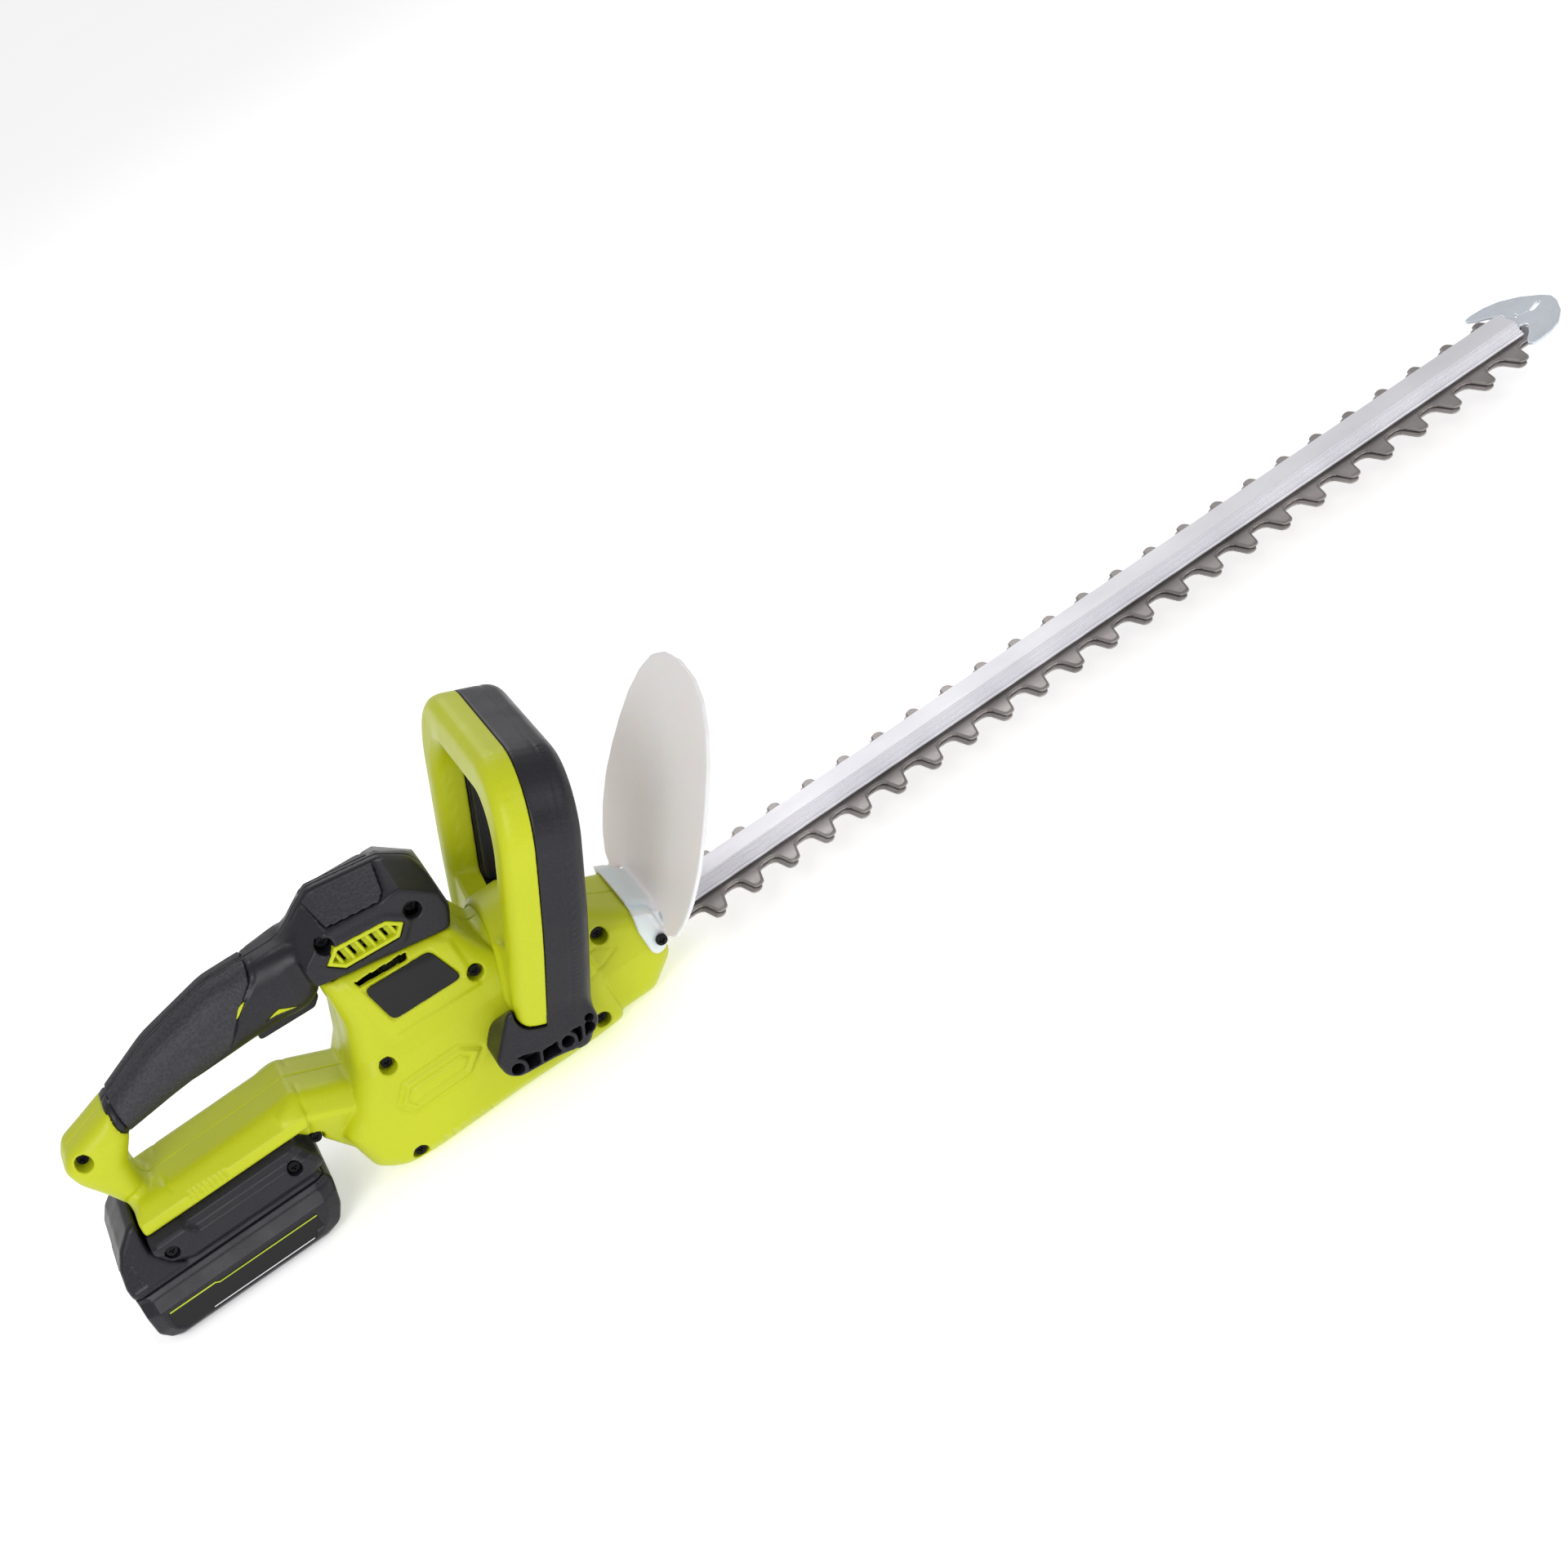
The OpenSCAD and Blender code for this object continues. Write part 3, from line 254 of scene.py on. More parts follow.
def placed(thing, body, material, slot, *nodes):
    """Gives a piece its finish and its body, and lets it stand for CAD nodes."""
    thing.data.materials.clear()
    thing.data.materials.append(material)
    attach(thing, body)
    if nodes:
        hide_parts(*nodes)
    return thing


# ---------------------------------------------------------------- green body

BODY = [(70, 38), (74, 14), (87, 3), (104, 0.6), (196, 3), (214, 4.5), (214, 52), (200, 66),
        (179, 74), (168, 99), (102, 112), (101, 86), (92, 62), (80, 46)]
NECK = [(50, 55.5), (61, 41), (72, 20), (112, 10), (125, 60), (89, 56.5), (61, 69.5), (49, 66)]
NOSE = [(160, 3.5), (234, 3.5), (249.5, 18), (251, 30), (251, 47.5), (234, 56), (202, 81),
        (188, 84), (172, 78), (160, 70)]
FOOT = [(-30.6, 54), (61, 54), (64, 58), (62, 68), (52, 68.5), (-24, 67), (-29.4, 62)]
RISER = [(-29.6, 56), (-12, 58), (-18, 72), (-17, 84), (-8, 96), (-8, 113), (-26, 107),
         (-39, 103), (-44, 96), (-42, 87), (-35, 75), (-29.4, 63)]
GRIP = [(-30, 92), (20, 98), (62, 98.5), (92, 98), (103, 104), (105, 132), (58, 134),
        (20, 126), (-30, 105)]
GRIP_END = -12  # rear end of the black grip
TUBE_Z, TUBE_R = 49.5, 33.2  # round neck of the body
HUMP = [(100, 111.5), (168, 98.2), (173.5, 109), (173, 122.5), (170.5, 129.5), (158, 139.5), (122, 145.5),
        (112, 140), (101, 133)]
NECK_RIDGE = [(40, 62), (57, 59), (112, 32.5), (149, 33.4), (260, 34.5)]

# Screws of the two halves: x, z and the width of the shell there
BODY_SCREWS = [(165.4, 73.6, 33), (107, 59.4, 35), (59.5, 43.6, 27), (96, 9.7, 30), (203, 14, 30),
               (223.4, 51, 28), (-33.2, 97.6, 17.5)]
HUMP_SCREWS = [(115.0, 127.5, 28), (157.8, 117.9, 28.5)]
GUARD_SCREW = (247.5, 33)


def body_solid(g, inset=0.0):
    """One half of the green body, moved inwards by inset."""
    x, z = g.x, g.z

    barrel = soften(polygon(x, z, BODY), 3.5, g.step)
    wide = table(z, [(0, 27), (4, 30.5), (10, 33.6), (30, 35.8), (34, 36), (50, 35.4), (59, 34.6),
                     (66, 31.8), (100, 30.2), (112, 29)])
    wide = wide - rim(barrel, 11, 11, 0) * table(x, [(70, 1), (150, 1), (180, 0.6)])
    solid = rounded(barrel + inset, g.y - wide + inset, 1.5)

    nose = soften(polygon(x, z, NOSE), 3.5, g.step)
    wide = table(z, [(3.5, 24), (31, 31), (36, 31), (50, 30), (62, 27), (84, 22)])
    wide = wide - rim(nose, 9, 9, 0)
    solid = join(solid, rounded(nose + inset, g.y - wide + inset, 1.5), 3)

    # The round gear neck that the loop's collar sits on
    tube = np.hypot(g.y, z - TUBE_Z) - TUBE_R
    tube = meet(tube, np.abs(x - 190) - 22, 2) + inset
    solid = join(solid, meet(tube, 20 - z + inset, 2), 4)

    neck = soften(polygon(x, z, NECK), 2.0, g.step)
    off_ridge = z - table(x, NECK_RIDGE)
    wide = 29.2 - 0.75 * np.maximum(off_ridge - 3, 0) ** 1.1 - 0.38 * np.maximum(-off_ridge, 0)
    wide = wide - rim(neck, 4, 3, 0)
    solid = join(solid, rounded(neck + inset, g.y - wide + inset, 2), 2.5)

    foot = soften(polygon(x, z, FOOT), 1.5, g.step)
    wide = table(z, [(54, 31), (60.5, 30.6), (65, 25), (68, 21)]) - rim(foot, 3, 2.5, 0)
    solid = join(solid, rounded(foot + inset, g.y - wide + inset, 1.5), 2)

    riser = soften(polygon(x, z, RISER), 3, g.step)
    wide = 17.5 - rim(riser, 9, 9, 0) + table(z, [(54, 4), (66, 0)])
    return join(solid, rounded(riser + inset, g.y - wide + inset, 1.5), 3)


def body_relief(g):
    """Raised and sunk detail on the side of the green body, as a height outwards."""
    x, z = g.x, g.z
    relief = np.zeros(np.broadcast_shapes(x.shape, z.shape), np.float32)
    # Panel with pointed ends, inside a raised line
    panel = polygon(x, z, HEX_PANEL)
    relief += plateau(panel, 1.0, 1.2) - bump_up(panel + 3.0, 1.8, 1.0) - bump_up(panel - 1.8, 2.0, 0.8)
    # The face that carries the rating plate stands proud of the barrel
    face = polygon(x, z, PLATE_FACE)
    relief += plateau(face, 1.1, 2.4)
    relief -= plateau(polygon(x, z, PLATE) - 0.6, 1.0, 1.0)
    # Seams between the mouldings
    relief -= bump_up(polyline(x, z, [(66, 72), (61.5, 56), (55.5, 40)]), 1.7, 0.9)
    relief -= bump_up(polyline(x, z, [(-34, 62), (-27, 69.5), (-14, 71), (-8, 65)]), 1.7, 0.9)
    # Upright ribs on the belly, and finer ones on the foot
    ribs = plateau(polygon(x, z, [(104, 4), (136, 4.6), (136, 10.4), (105.5, 10.4)]), 1.1, 1.5)
    relief -= ribs * np.clip(0.5 + 1.5 * np.sin(2 * np.pi * x / 5.4), 0, 1)
    slats = plateau(polygon(x, z, [(-2.5, 56.4), (18.5, 56.2), (18.5, 61), (-2.5, 61.8)]), 1.0, 1.0)
    relief -= slats * (0.5 + 0.5 * np.sin(2 * np.pi * x / 2.7))
    # Arrow beside the nose
    arrow = polygon(x, z, [(209, 37.5), (217, 37.5), (227, 41.5), (219, 47.5), (209, 47.5)])
    relief -= bump_up(arrow, 1.6, 0.6)
    return relief


# Panel low on the side, rating plate and the face it lies on, and the air slot over it
HEX_PANEL = [(102, 39), (106.5, 32.8), (137, 33.2), (146.5, 40.5), (139, 46.5), (109, 46.5)]
PLATE = [(121.5, 77.4), (159.6, 76), (153.4, 96.2), (117.8, 98.8)]
PLATE_FACE = [(118, 70), (164, 67.5), (164, 94), (153, 104), (111, 109), (114, 88)]
SLOT = [(116, 103.6), (117.4, 100.4), (142.6, 97.8), (144, 101)]


def screw_wells(g, solid, places, depth=9, r=4.3):
    """Sunk round wells over the screws."""
    for x, z, wide in places:
        solid = cut(solid, cylinder_y(g, x, z, r, wide - depth), 0.6)
    return solid


def make_housing(side, name):
    """One half of the hollow green body."""
    g = Grid((-52, -0.9, -1.5), (254, 39, 115), STEP_BODY)
    outer = body_solid(g)
    relief = body_relief(g)
    if side == FAR:
        relief += plateau(polygon(g.x, g.z, PLATE) - 0.6, 1.0, 1.0)
    outer = outer - relief * np.clip((g.y - 8) / 8, 0, 1)
    cavity = body_solid(g, WALL)
    for x, z, wide in BODY_SCREWS:
        cavity = cut(cavity, cylinder_y(g, x, z, SCREW_POST_R, -5, wide), 1)
    shell = cut(outer, cavity)
    shell = cut(shell, grip_solid(g) - SEAM)
    shell = screw_wells(g, shell, BODY_SCREWS)
    if side == NEAR:
        shell = cut(shell, meet(polygon(g.x, g.z, SLOT), 24 - g.y))
    # Ways out for the blades at the front, the terminals below and the motor above
    shell = cut(shell, rounded(np.abs(g.z - 29.5) - 8.6, g.y - 15.6, 1) + np.maximum(200 - g.x, 0))
    shell = cut(shell, block(g, -20, 40, -2, 20, 50, 58))
    shell = cut(shell, block(g, 108, 160, -2, 24, 92, 116))
    shell = cut(shell, trigger_room(g))
    shell = meet(shell, SEAM / 2 - g.y, 0.5)
    return meshed(name, g, shell, side)


# ---------------------------------------------------------------- black grip and hump

VENT = [(110.4, 118.8), (117.4, 112.2), (146, 110), (151.6, 115.6), (144.4, 121.6), (118.2, 124.8)]
PAD = [(120, 133.6), (147, 130.6), (151, 132), (155.5, 141), (122, 147), (116.5, 142)]
SKIN = [(-8, 96), (20, 98.5), (52, 104), (61.5, 114.5), (66, 119.5), (76.5, 127),
        (82, 137), (58, 137), (-8, 118)]
FLAMES = [[(58, 114.8), (64.8, 121), (70.5, 121.6), (63.6, 116.6)],
          [(73, 106.2), (80.5, 108.4), (88.8, 104), (80, 105.6)]]
TRIGGER_PIVOT, PIVOT_HOLE_R = (94, 104), 2.3
TRIGGER = [(64, 94.5), (94, 93), (98.5, 97), (98.5, 107), (92, 108.5), (78, 105.2), (66, 105.2)]


def grip_solid(g, inset=0.0):
    """One half of the black upper part."""
    x, z = g.x, g.z
    grip = soften(polygon(x, z, GRIP), 5, g.step)
    wide = 17.5 - rim(grip, 14, 12, 0) + table(x, [(78, 0), (100, 5)])
    solid = rounded(meet(grip, GRIP_END - x) + inset, g.y - wide + inset, 1.2)
    hump = soften(polygon(x, z, HUMP), 3.2, g.step)
    # Its top is a roof: from a narrow ridge each side slopes down to the eaves
    ridge = table(x, [(100, 132), (112, 140), (122, 145), (158, 139), (172, 129)])
    eaves = table(x, [(100, 122), (118, 133), (158, 130.5), (172, 118)])
    slope = 25.0 / (ridge - eaves)
    roof = (g.y - 4 - slope * (ridge - z)) / np.sqrt(1 + slope * slope)
    side = meet(roof, g.y - 29 + rim(hump, 3, 2, 0), 1.5)
    return join(solid, rounded(hump + inset, side + inset, 1.4), 6)


def trigger_room(g):
    """The space that the trigger moves in."""
    flat = polygon(g.x, g.z, [(62.5, 90), (100, 90), (100, 109.5), (91, 110), (62.5, 107)])
    return np.maximum(flat, g.y - 7.3)


def make_grip(side, name):
    """One half of the hollow black grip and hump."""
    g = Grid((-14, -0.9, 89), (175.5, 31, 147.5), STEP_BODY)
    outer = grip_solid(g)
    x, z = g.x, g.z
    relief = np.zeros(np.broadcast_shapes(x.shape, z.shape), np.float32)
    # A groove round each soft skin, and the seam of the top strip
    relief -= bump_up(polygon(x, z, SKIN), 1.8, 0.9)
    relief -= bump_up(polyline(x, z, [(84.5, 137), (79.5, 128), (69, 119.5), (64, 114)]), 1.4, 0.6)
    relief += plateau(polygon(x, z, VENT) - 3.2, 0.9, 2.0)
    outer = outer - relief * np.clip((g.y - 3) / 4, 0, 1)
    outer = outer + bump_up(polygon(x, z, PAD) - 0.5, 1.4, 0.8) * (g.y > 5)
    outer = outer + bump_up(g.y - 4.3, 1.3, 0.7) * (x > 108) * (x < 159) * (z > 130)
    shell = cut(outer, grip_solid(g, WALL))
    shell = cut(shell, meet(polygon(x, z, VENT) - 0.1, 17 - g.y))
    shell = cut(shell, layer(g, PAD, 0.12))
    shell = cut(shell, layer(g, SKIN, 0.12, start=2.5))
    for flame in FLAMES:
        shell = cut(shell, layer(g, flame, 0.12))
    for px, pz, wide in HUMP_SCREWS:
        shell = join(shell, meet(cylinder_y(g, px, pz, SCREW_POST_R, 6, wide - 1), outer))
    shell = screw_wells(g, shell, HUMP_SCREWS)
    shell = cut(shell, block(g, 108, 160, -2, 24, 88, 116))
    shell = cut(shell, block(g, 90, 114, -2, 10, 106, 128))
    shell = cut(shell, trigger_room(g))
    shell = meet(shell, SEAM / 2 - g.y, 0.5)
    return meshed(name, g, shell, side)


def layer(g, outline, grow=0.0, depth=1.2, stand=0.0, start=5.0):
    """A skin let into the side of the grip, as a layer of the grip's own surface."""
    surface = evened(grip_solid(g), g.step)
    sheet = np.maximum(surface - stand, -(surface + depth))
    return np.maximum(sheet - grow, np.maximum(polygon(g.x, g.z, outline) - grow, start - grow - g.y))


def make_pads():
    """Soft pads on the roof of the hump, and the soft skins where the hand lies."""
    parts = []
    for outline, low, high, start in ((PAD, (115, 3, 127), (158, 32, 147), 5),
                                      (SKIN, (-14, 1.5, 92), (86, 20, 139), 2.5)):
        g = Grid(low, high, 0.6)
        skin = meet(layer(g, outline, -0.1, 1.2, 0.3, start), polygon(g.x, g.z, outline) + 0.3, 0.8)
        if outline is SKIN:
            skin = np.maximum(skin, GRIP_END + 0.2 - g.x)
        parts += both_sides(g, skin)
    return joined("grip_pads", parts)


def make_flames():
    """Slivers of green let into the grip beside the trigger."""
    parts = []
    for outline in FLAMES:
        us, ws = [p[0] for p in outline], [p[1] for p in outline]
        g = Grid((min(us) - 1, 8, min(ws) - 1), (max(us) + 1, 20, max(ws) + 1), 0.35)
        parts += both_sides(g, layer(g, outline, -0.1, 1.2, 0.1))
    return joined("grip_flames", parts)


def make_vents():
    g = Grid((108, 17, 105), (156, 32, 128), 0.45)
    frame_line = polygon(g.x, g.z, VENT)
    face = g.y - 29.9 + 0.12 * np.maximum(frame_line + 3, 0)
    solid = rounded(frame_line + 0.15, np.maximum(face, 24 - g.y), 0.7)
    inner = frame_line + 2.3
    # Seven louvres: each slot has a floor, with a narrow gap through it along its rear edge
    for i in range(7):
        along = (g.x - 114.6 - 5.5 * i) + 0.12 * (g.z - 117)
        solid = cut(solid, np.maximum(np.maximum(np.abs(along) - 1.9, inner), 25.6 - g.y), 0.4)
        solid = cut(solid, np.maximum(np.abs(along + 1.2) - 0.7, inner))
    # The bars between the slots lie a little deeper than the frame
    solid = cut(solid, np.maximum(inner, 28.4 - g.y), 0.5)
    return joined("vent_grilles", both_sides(g, solid))


def joined(name, parts):
    """Several meshes as one piece."""
    bm = bmesh.new()
    for part in parts:
        bm.from_mesh(part.data)
        bpy.data.objects.remove(part)
    return from_bmesh(bm, name)


def make_rating_plate():
    g = Grid((116, 26, 72), (162, 36, 102), 0.4)
    surface = body_solid(g) - plateau(polygon(g.x, g.z, PLATE_FACE), 1.1, 2.4)
    sheet = np.maximum(surface - 0.25, -(surface + 0.8))
    corner = soften(polygon(g.x, g.z, PLATE), 3, g.step)
    return meshed("rating_plate", g, rounded(corner, sheet, 0.3), NEAR)


def make_trigger():
    g = Grid((62, -8.5, 91), (100, 8.5, 110), 0.5)
    flat = soften(polygon(g.x, g.z, TRIGGER), 1.5, g.step)
    solid = rounded(flat, np.abs(g.y) - 7.0, 1.6)
    solid = cut(solid, np.hypot(g.x - TRIGGER_PIVOT[0], g.z - TRIGGER_PIVOT[1]) - PIVOT_HOLE_R)
    return meshed("trigger", g, solid)


# ---------------------------------------------------------------- front loop

LOOP = Lean((184, 52), 23.5)  # in its frame, w runs up the leaning loop and u forward
LOOP_TOP, LOOP_HALF, LOOP_BAR, LOOP_CORNER = 125, 77, 24, 38
REAR_DEPTH, FRONT_DEPTH = 16, 24
PAST_MIDDLE = -30  # half outlines are closed beyond the middle plane
LIME_FOOT = -11  # lower end of the loop's green shell, in w
BRACKET = [(149.5, 40), (150.5, 31), (156, 26.2), (187, 22.6), (197, 24), (201.5, 29), (202, 36),
           (201, 52), (167, 60)]
BRACKET_OPENING = [(151, 33), (155, 26.5), (187, 22), (198, 24), (201, 29), (197, 33.5), (186, 35.5),
                   (172, 34), (161, 38.5), (153, 38)]
LOOP_BOSSES = [(156.5, 31.5), (183, 28.5)]


def arc(u, v, r, start, end, steps=10):
    """Points along an arc, from one angle to another in degrees."""
    angles = np.radians(np.linspace(start, end, steps + 1))
    return [(u + r * math.cos(a), v + r * math.sin(a)) for a in angles]


def loop_outer(foot):
    """Outer outline of the loop in y and w, above foot."""
    c = LOOP_CORNER
    return ([(PAST_MIDDLE, foot), (57 + 0.03 * (foot + 4), foot), (58, -4), (68, 30), (71.5, 46), (75.5, 74)]
            + arc(LOOP_HALF - c, LOOP_TOP - c, c, 0, 90) + [(PAST_MIDDLE, LOOP_TOP)])


def loop_inner(foot, inset=0.0):
    """Outline of the loop's hand opening."""
    r = 20 - inset
    side, top = LOOP_HALF - LOOP_BAR - inset, LOOP_TOP - LOOP_BAR - inset
    return ([(PAST_MIDDLE, foot), (46.5 - inset, foot), (48.5 - inset, 30), (51.5 - inset, 68)]
            + arc(side - r, top - r, r, 0, 90) + [(PAST_MIDDLE, top)])


def loop_bar(g, foot, sill):
    """The loop from the front: outside of the hand opening and above foot, open down to sill."""
    return cut(polygon(g.y, g.w, loop_outer(foot)), polygon(g.y, g.w, loop_inner(sill)))


def make_loop_rear():
    """The green rear shell of the loop, with its collar round the neck of the body."""
    g = Grid((-17, 0, -14), (1, 79, 127), STEP_LOOP, LOOP)
    ring = soften(loop_bar(g, LIME_FOOT, -60), 2.0, g.step)

    def bar(inset):
        back = -g.u - REAR_DEPTH + rim(ring, 10, 8.5, 0)
        return rounded(ring + inset, back + inset, 1.5)

    around = np.hypot(g.y, g.z - TUBE_Z)
    collar = meet(around - TUBE_R - 5.5, np.abs(g.u + 7) - 8, 1.5)
    web = rounded(np.maximum(g.w - 16 - 0.25 * g.y, g.y - 52), np.abs(g.u + 6) - 7, 1.5)
    solid = join(join(bar(0), web, 4), collar, 5)
    cavity = bar(3.2)
    shell = cut(solid, cavity)
    shell = cut(shell, body_solid(g) - 0.3)
    shell = cut(shell, meet(around - TUBE_R - 0.3, 40 - g.z))
    shell = meet(shell, meet(LIME_FOOT + 0.5 - g.w, -g.u - REAR_DEPTH + 0.5, 12), 1)
    shell = meet(shell, g.u + SEAM / 2, 0.5)
    return meshed("loop_rear_shell", g, shell, whole=True)


def make_loop_front():
    """The black front shell of the loop, with the foot on each side of the body."""
    g = Grid((-30, 0, -52), (30, 79, 127), STEP_LOOP, LOOP)
    ring = soften(loop_bar(g, -28, 40), 2.0, g.step)

    def bar(inset):
        front = g.u - FRONT_DEPTH + rim(ring, 10, 9.5, 0)
        return rounded(ring + inset, np.maximum(front, -g.u - 2) + inset, 1.5)

    solid = bar(0) + bump_up(g.u - 12.5, 1.4, 0.35) * (ring > -4)
    solid = meet(solid, -g.u + SEAM / 2, 0.5)
    solid = cut(solid, meet(loop_bar(g, -10, -60) + 4.2, g.u - FRONT_DEPTH + 4.5))
    # The foot behind and under the leg, with open ribs and screw posts on its outer side
    flat = soften(polygon(g.x, g.z, BRACKET), 3, g.step)
    foot = rounded(flat, np.maximum(g.y - 57.5 + 0.2 * np.maximum(30 - g.z, 0), 33 - g.y), 2.5)
    foot = meet(foot, 0.9 * (g.z - 61 + 0.55 * np.maximum(57.5 - g.y, 0)), 3)
    lower = soften(polygon(g.x, g.z, BRACKET_OPENING), 2, g.step)
    pocket = meet(lower + 1.8, 45 - g.y)
    for x, z in LOOP_BOSSES:
        d = np.hypot(g.x - x, g.z - z)
        pocket = meet(pocket, 5.2 - d)
        pocket = join(pocket, meet(d - 3.2, 42 - g.y))
    for x in (168.5, 192):
        pocket = meet(pocket, 0.9 - np.abs(g.x - x - 0.4 * (g.z - 29)))
    leg = meet(polygon(g.y, g.w, loop_outer(LIME_FOOT - 0.3)), meet(LIME_FOOT - g.w, -g.u - REAR_DEPTH, 12))
    solid = join(cut(solid, lower + 1.8), cut(cut(foot, pocket, 0.4), meet(leg - 0.4, g.u)), 2)
    # Two small sunk screws at the lower front of the leg
    for w in (-12, -18):
        d = np.hypot(g.w - w, g.u - 20)
        solid = cut(solid, meet(d - 2.2, 50 - g.y), 0.4)
    solid = cut(solid, body_solid(g) - 0.3)
    solid = cut(solid, np.maximum(np.hypot(g.y, g.z - TUBE_Z) - TUBE_R - 0.3, 0 * g.x))
    # Room for the lever and its travel
    room = polygon(g.y, g.w, loop_inner(24, inset=-0.3))
    room = np.minimum(room, polygon(g.y, g.w - 4, loop_inner(24, inset=-0.3)))
    solid = cut(solid, meet(room, np.abs(g.u - 9.3) - 9.3))
    solid = cut(solid, meet(polygon(g.y, g.w, loop_outer(0)), g.u))
    return meshed("loop_front_shell", g, solid, whole=True)


def make_lever():
    """The lever that lines the loop's hand opening."""
    g = Grid((0, 0, 22), (18.5, 56, 103), 0.7, LOOP)
    outer = polygon(g.y, g.w, loop_inner(24.7, inset=0.4))
    band = meet(outer, -polygon(g.y, g.w, loop_inner(-20, inset=7.4)))
    return meshed("front_lever", g, rounded(band, np.abs(g.u - 9.0) - 8.0, 2.0), whole=True)


# ---------------------------------------------------------------- dock and battery

DOCK = [(-30.6, 54), (-32, 46), (-27, 38.5), (-18, 33.6), (49, 33.6), (57, 37), (57, 41), (50, 51), (50, 54)]
BATTERY = [(-45, 0), (38, 0), (47, 6), (51.5, 13), (55, 25), (50.5, 33), (-52.4, 33), (-52.8, 9.5)]
BACK = [(-52.8, 30), (-20, 30), (-28, 37.8), (-33, 46), (-32.4, 54), (-31.2, 61.5), (-36, 60.5), (-45, 53),
        (-50, 45.5), (-52.8, 36)]
TOWER_HALF, TOWER_FRONT, RAIL_Z = 25.5, 38, 45.4
DOCK_SCREWS = [(-24, 43, 36), (44, 43, 36)]
LABEL = [(-44, 10), (-39, 6), (33, 6), (35, 9.6), (39.5, 9.6), (39.5, 18.8), (-43.5, 18.8)]
TERMINALS = (4, 12)


def make_dock():
    """The black shoe under the body that the battery slides into."""
    g = Grid((-45, 0, 32), (59, 38, 56), 0.7)
    flat = soften(polygon(g.x, g.z, DOCK), 1.2, g.step)
    # Two slanted steps up its side, which run into one at the rear
    stepped = table(g.z, [(33, 36), (44.4, 36), (47.4, 33), (51, 32.6), (53.4, 30.2), (54, 30.2)])
    plain = table(g.z, [(33, 36), (49, 36), (53.6, 31.4), (54, 31.4)])
    wide = plain + (stepped - plain) * np.clip((g.x + 14 - 0.5 * (52 - g.z)) / 3, 0, 1)
    wide = wide - rim(flat, 3, 2, 1.0)
    solid = rounded(flat, g.y - wide, 0.7)
    solid = cut(solid, block(g, -90, TOWER_FRONT + 0.3, -30, TOWER_HALF + 0.3, 20, RAIL_Z + 0.3))
    solid = screw_wells(g, solid, DOCK_SCREWS, 5, 3.6)
    rail = block(g, -26, 34, TOWER_HALF - 2.6, TOWER_HALF + 2, 39.6, 42)
    return meshed("dock", g, join(solid, rail), whole=True)


def battery_block(g, inset=0.0):
    """The battery below its tower, moved inwards by inset."""
    flat = soften(polygon(g.x, g.z, BATTERY), 1.2, g.step)
    wide = table(g.z, [(0, 33.5), (5, 38), (20.5, 38), (26.5, 33.4), (33, 33)])
    wide = wide - rim(flat, 7, 4, 1.0)
    return rounded(flat + inset, g.y - wide + inset, 1.0)


def make_battery_lower():
    """The hollow lower shell of the battery."""
    g = Grid((-54.5, 0, -0.7), (56.5, 39, 30), 0.7)
    outer = battery_block(g)
    label = polygon(g.x, g.z, LABEL)
    outer = outer + plateau(label, 1.0, 1.0) * (g.y > 30)
    # Notches along the bottom edge
    for x0, x1 in ((-28, -8), (14, 34)):
        notch = np.abs(g.x - (x0 + x1) / 2) - (x1 - x0) / 2
        outer = cut(outer, np.maximum(notch, np.maximum(g.z - 2.2, 32 - g.y)), 0.8)
    shell = cut(outer, battery_block(g, 2.8))
    shell = cut(shell, block(g, -57, -46, -30, 13.5, 19.7, 60))
    shell = meet(shell, g.z - 29 + SEAM / 2, 0.4)
    return meshed("battery_lower", g, shell, whole=True)


def make_battery_upper():
    """The upper shell, with its tower in the dock and its raised back."""
    g = Grid((-54.5, 0, 27.5), (56.5, 39, 64), 0.7)
    solid = meet(battery_block(g), 29 + SEAM / 2 - g.z, 0.4)
    tower = block(g, -44, TOWER_FRONT, -30, TOWER_HALF, 31, RAIL_Z) + 0.6
    solid = join(solid, tower - 0.6)
    back = soften(polygon(g.x, g.z, BACK), 1.0, g.step)
    wide = 31 - rim(back, 3, 2, 0) - 0.22 * np.maximum(g.z - 33, 0)
    mesh_panel = polygon(g.x, g.z, [(-51, 33), (-43, 33), (-41, 49), (-46, 48)])
    weave = np.sin((g.x + g.z) * 2 * np.pi / 2.6) * np.sin((g.x - g.z) * 2 * np.pi / 2.6)
    wide = wide - plateau(mesh_panel, 0.9, 0.8) + plateau(mesh_panel + 0.8, 0.5, 0.8) * (weave > 0.1)
    solid = join(solid, rounded(back, g.y - wide, 1.2), 1.0)
    solid = cut(solid, block(g, -27, 60, TOWER_HALF - 3, 40, 39.2, 42.4))
    for y in TERMINALS:
        solid = cut(solid, block(g, -12, 68, y - 1.6, y + 1.6, 32, 72))
    solid = cut(solid, block(g, -41, 32, -30, TOWER_HALF - 3, 20, 33))
    solid = cut(solid, block(g, -57, -46, -30, 13.5, 19.7, 39.5))
    return meshed("battery_upper", g, solid, whole=True)


def make_battery_panels():
    """Label fields on the sides of the battery, blank but for their two lines."""
    g = Grid((-46, 35, 4), (43, 39, 21), 0.35)
    label = polygon(g.x, g.z, LABEL)
    solid = rounded(label + 0.2, np.maximum(g.y - 37.35, 36.2 - g.y), 0.3)
    return joined("battery_panels", both_sides(g, solid))


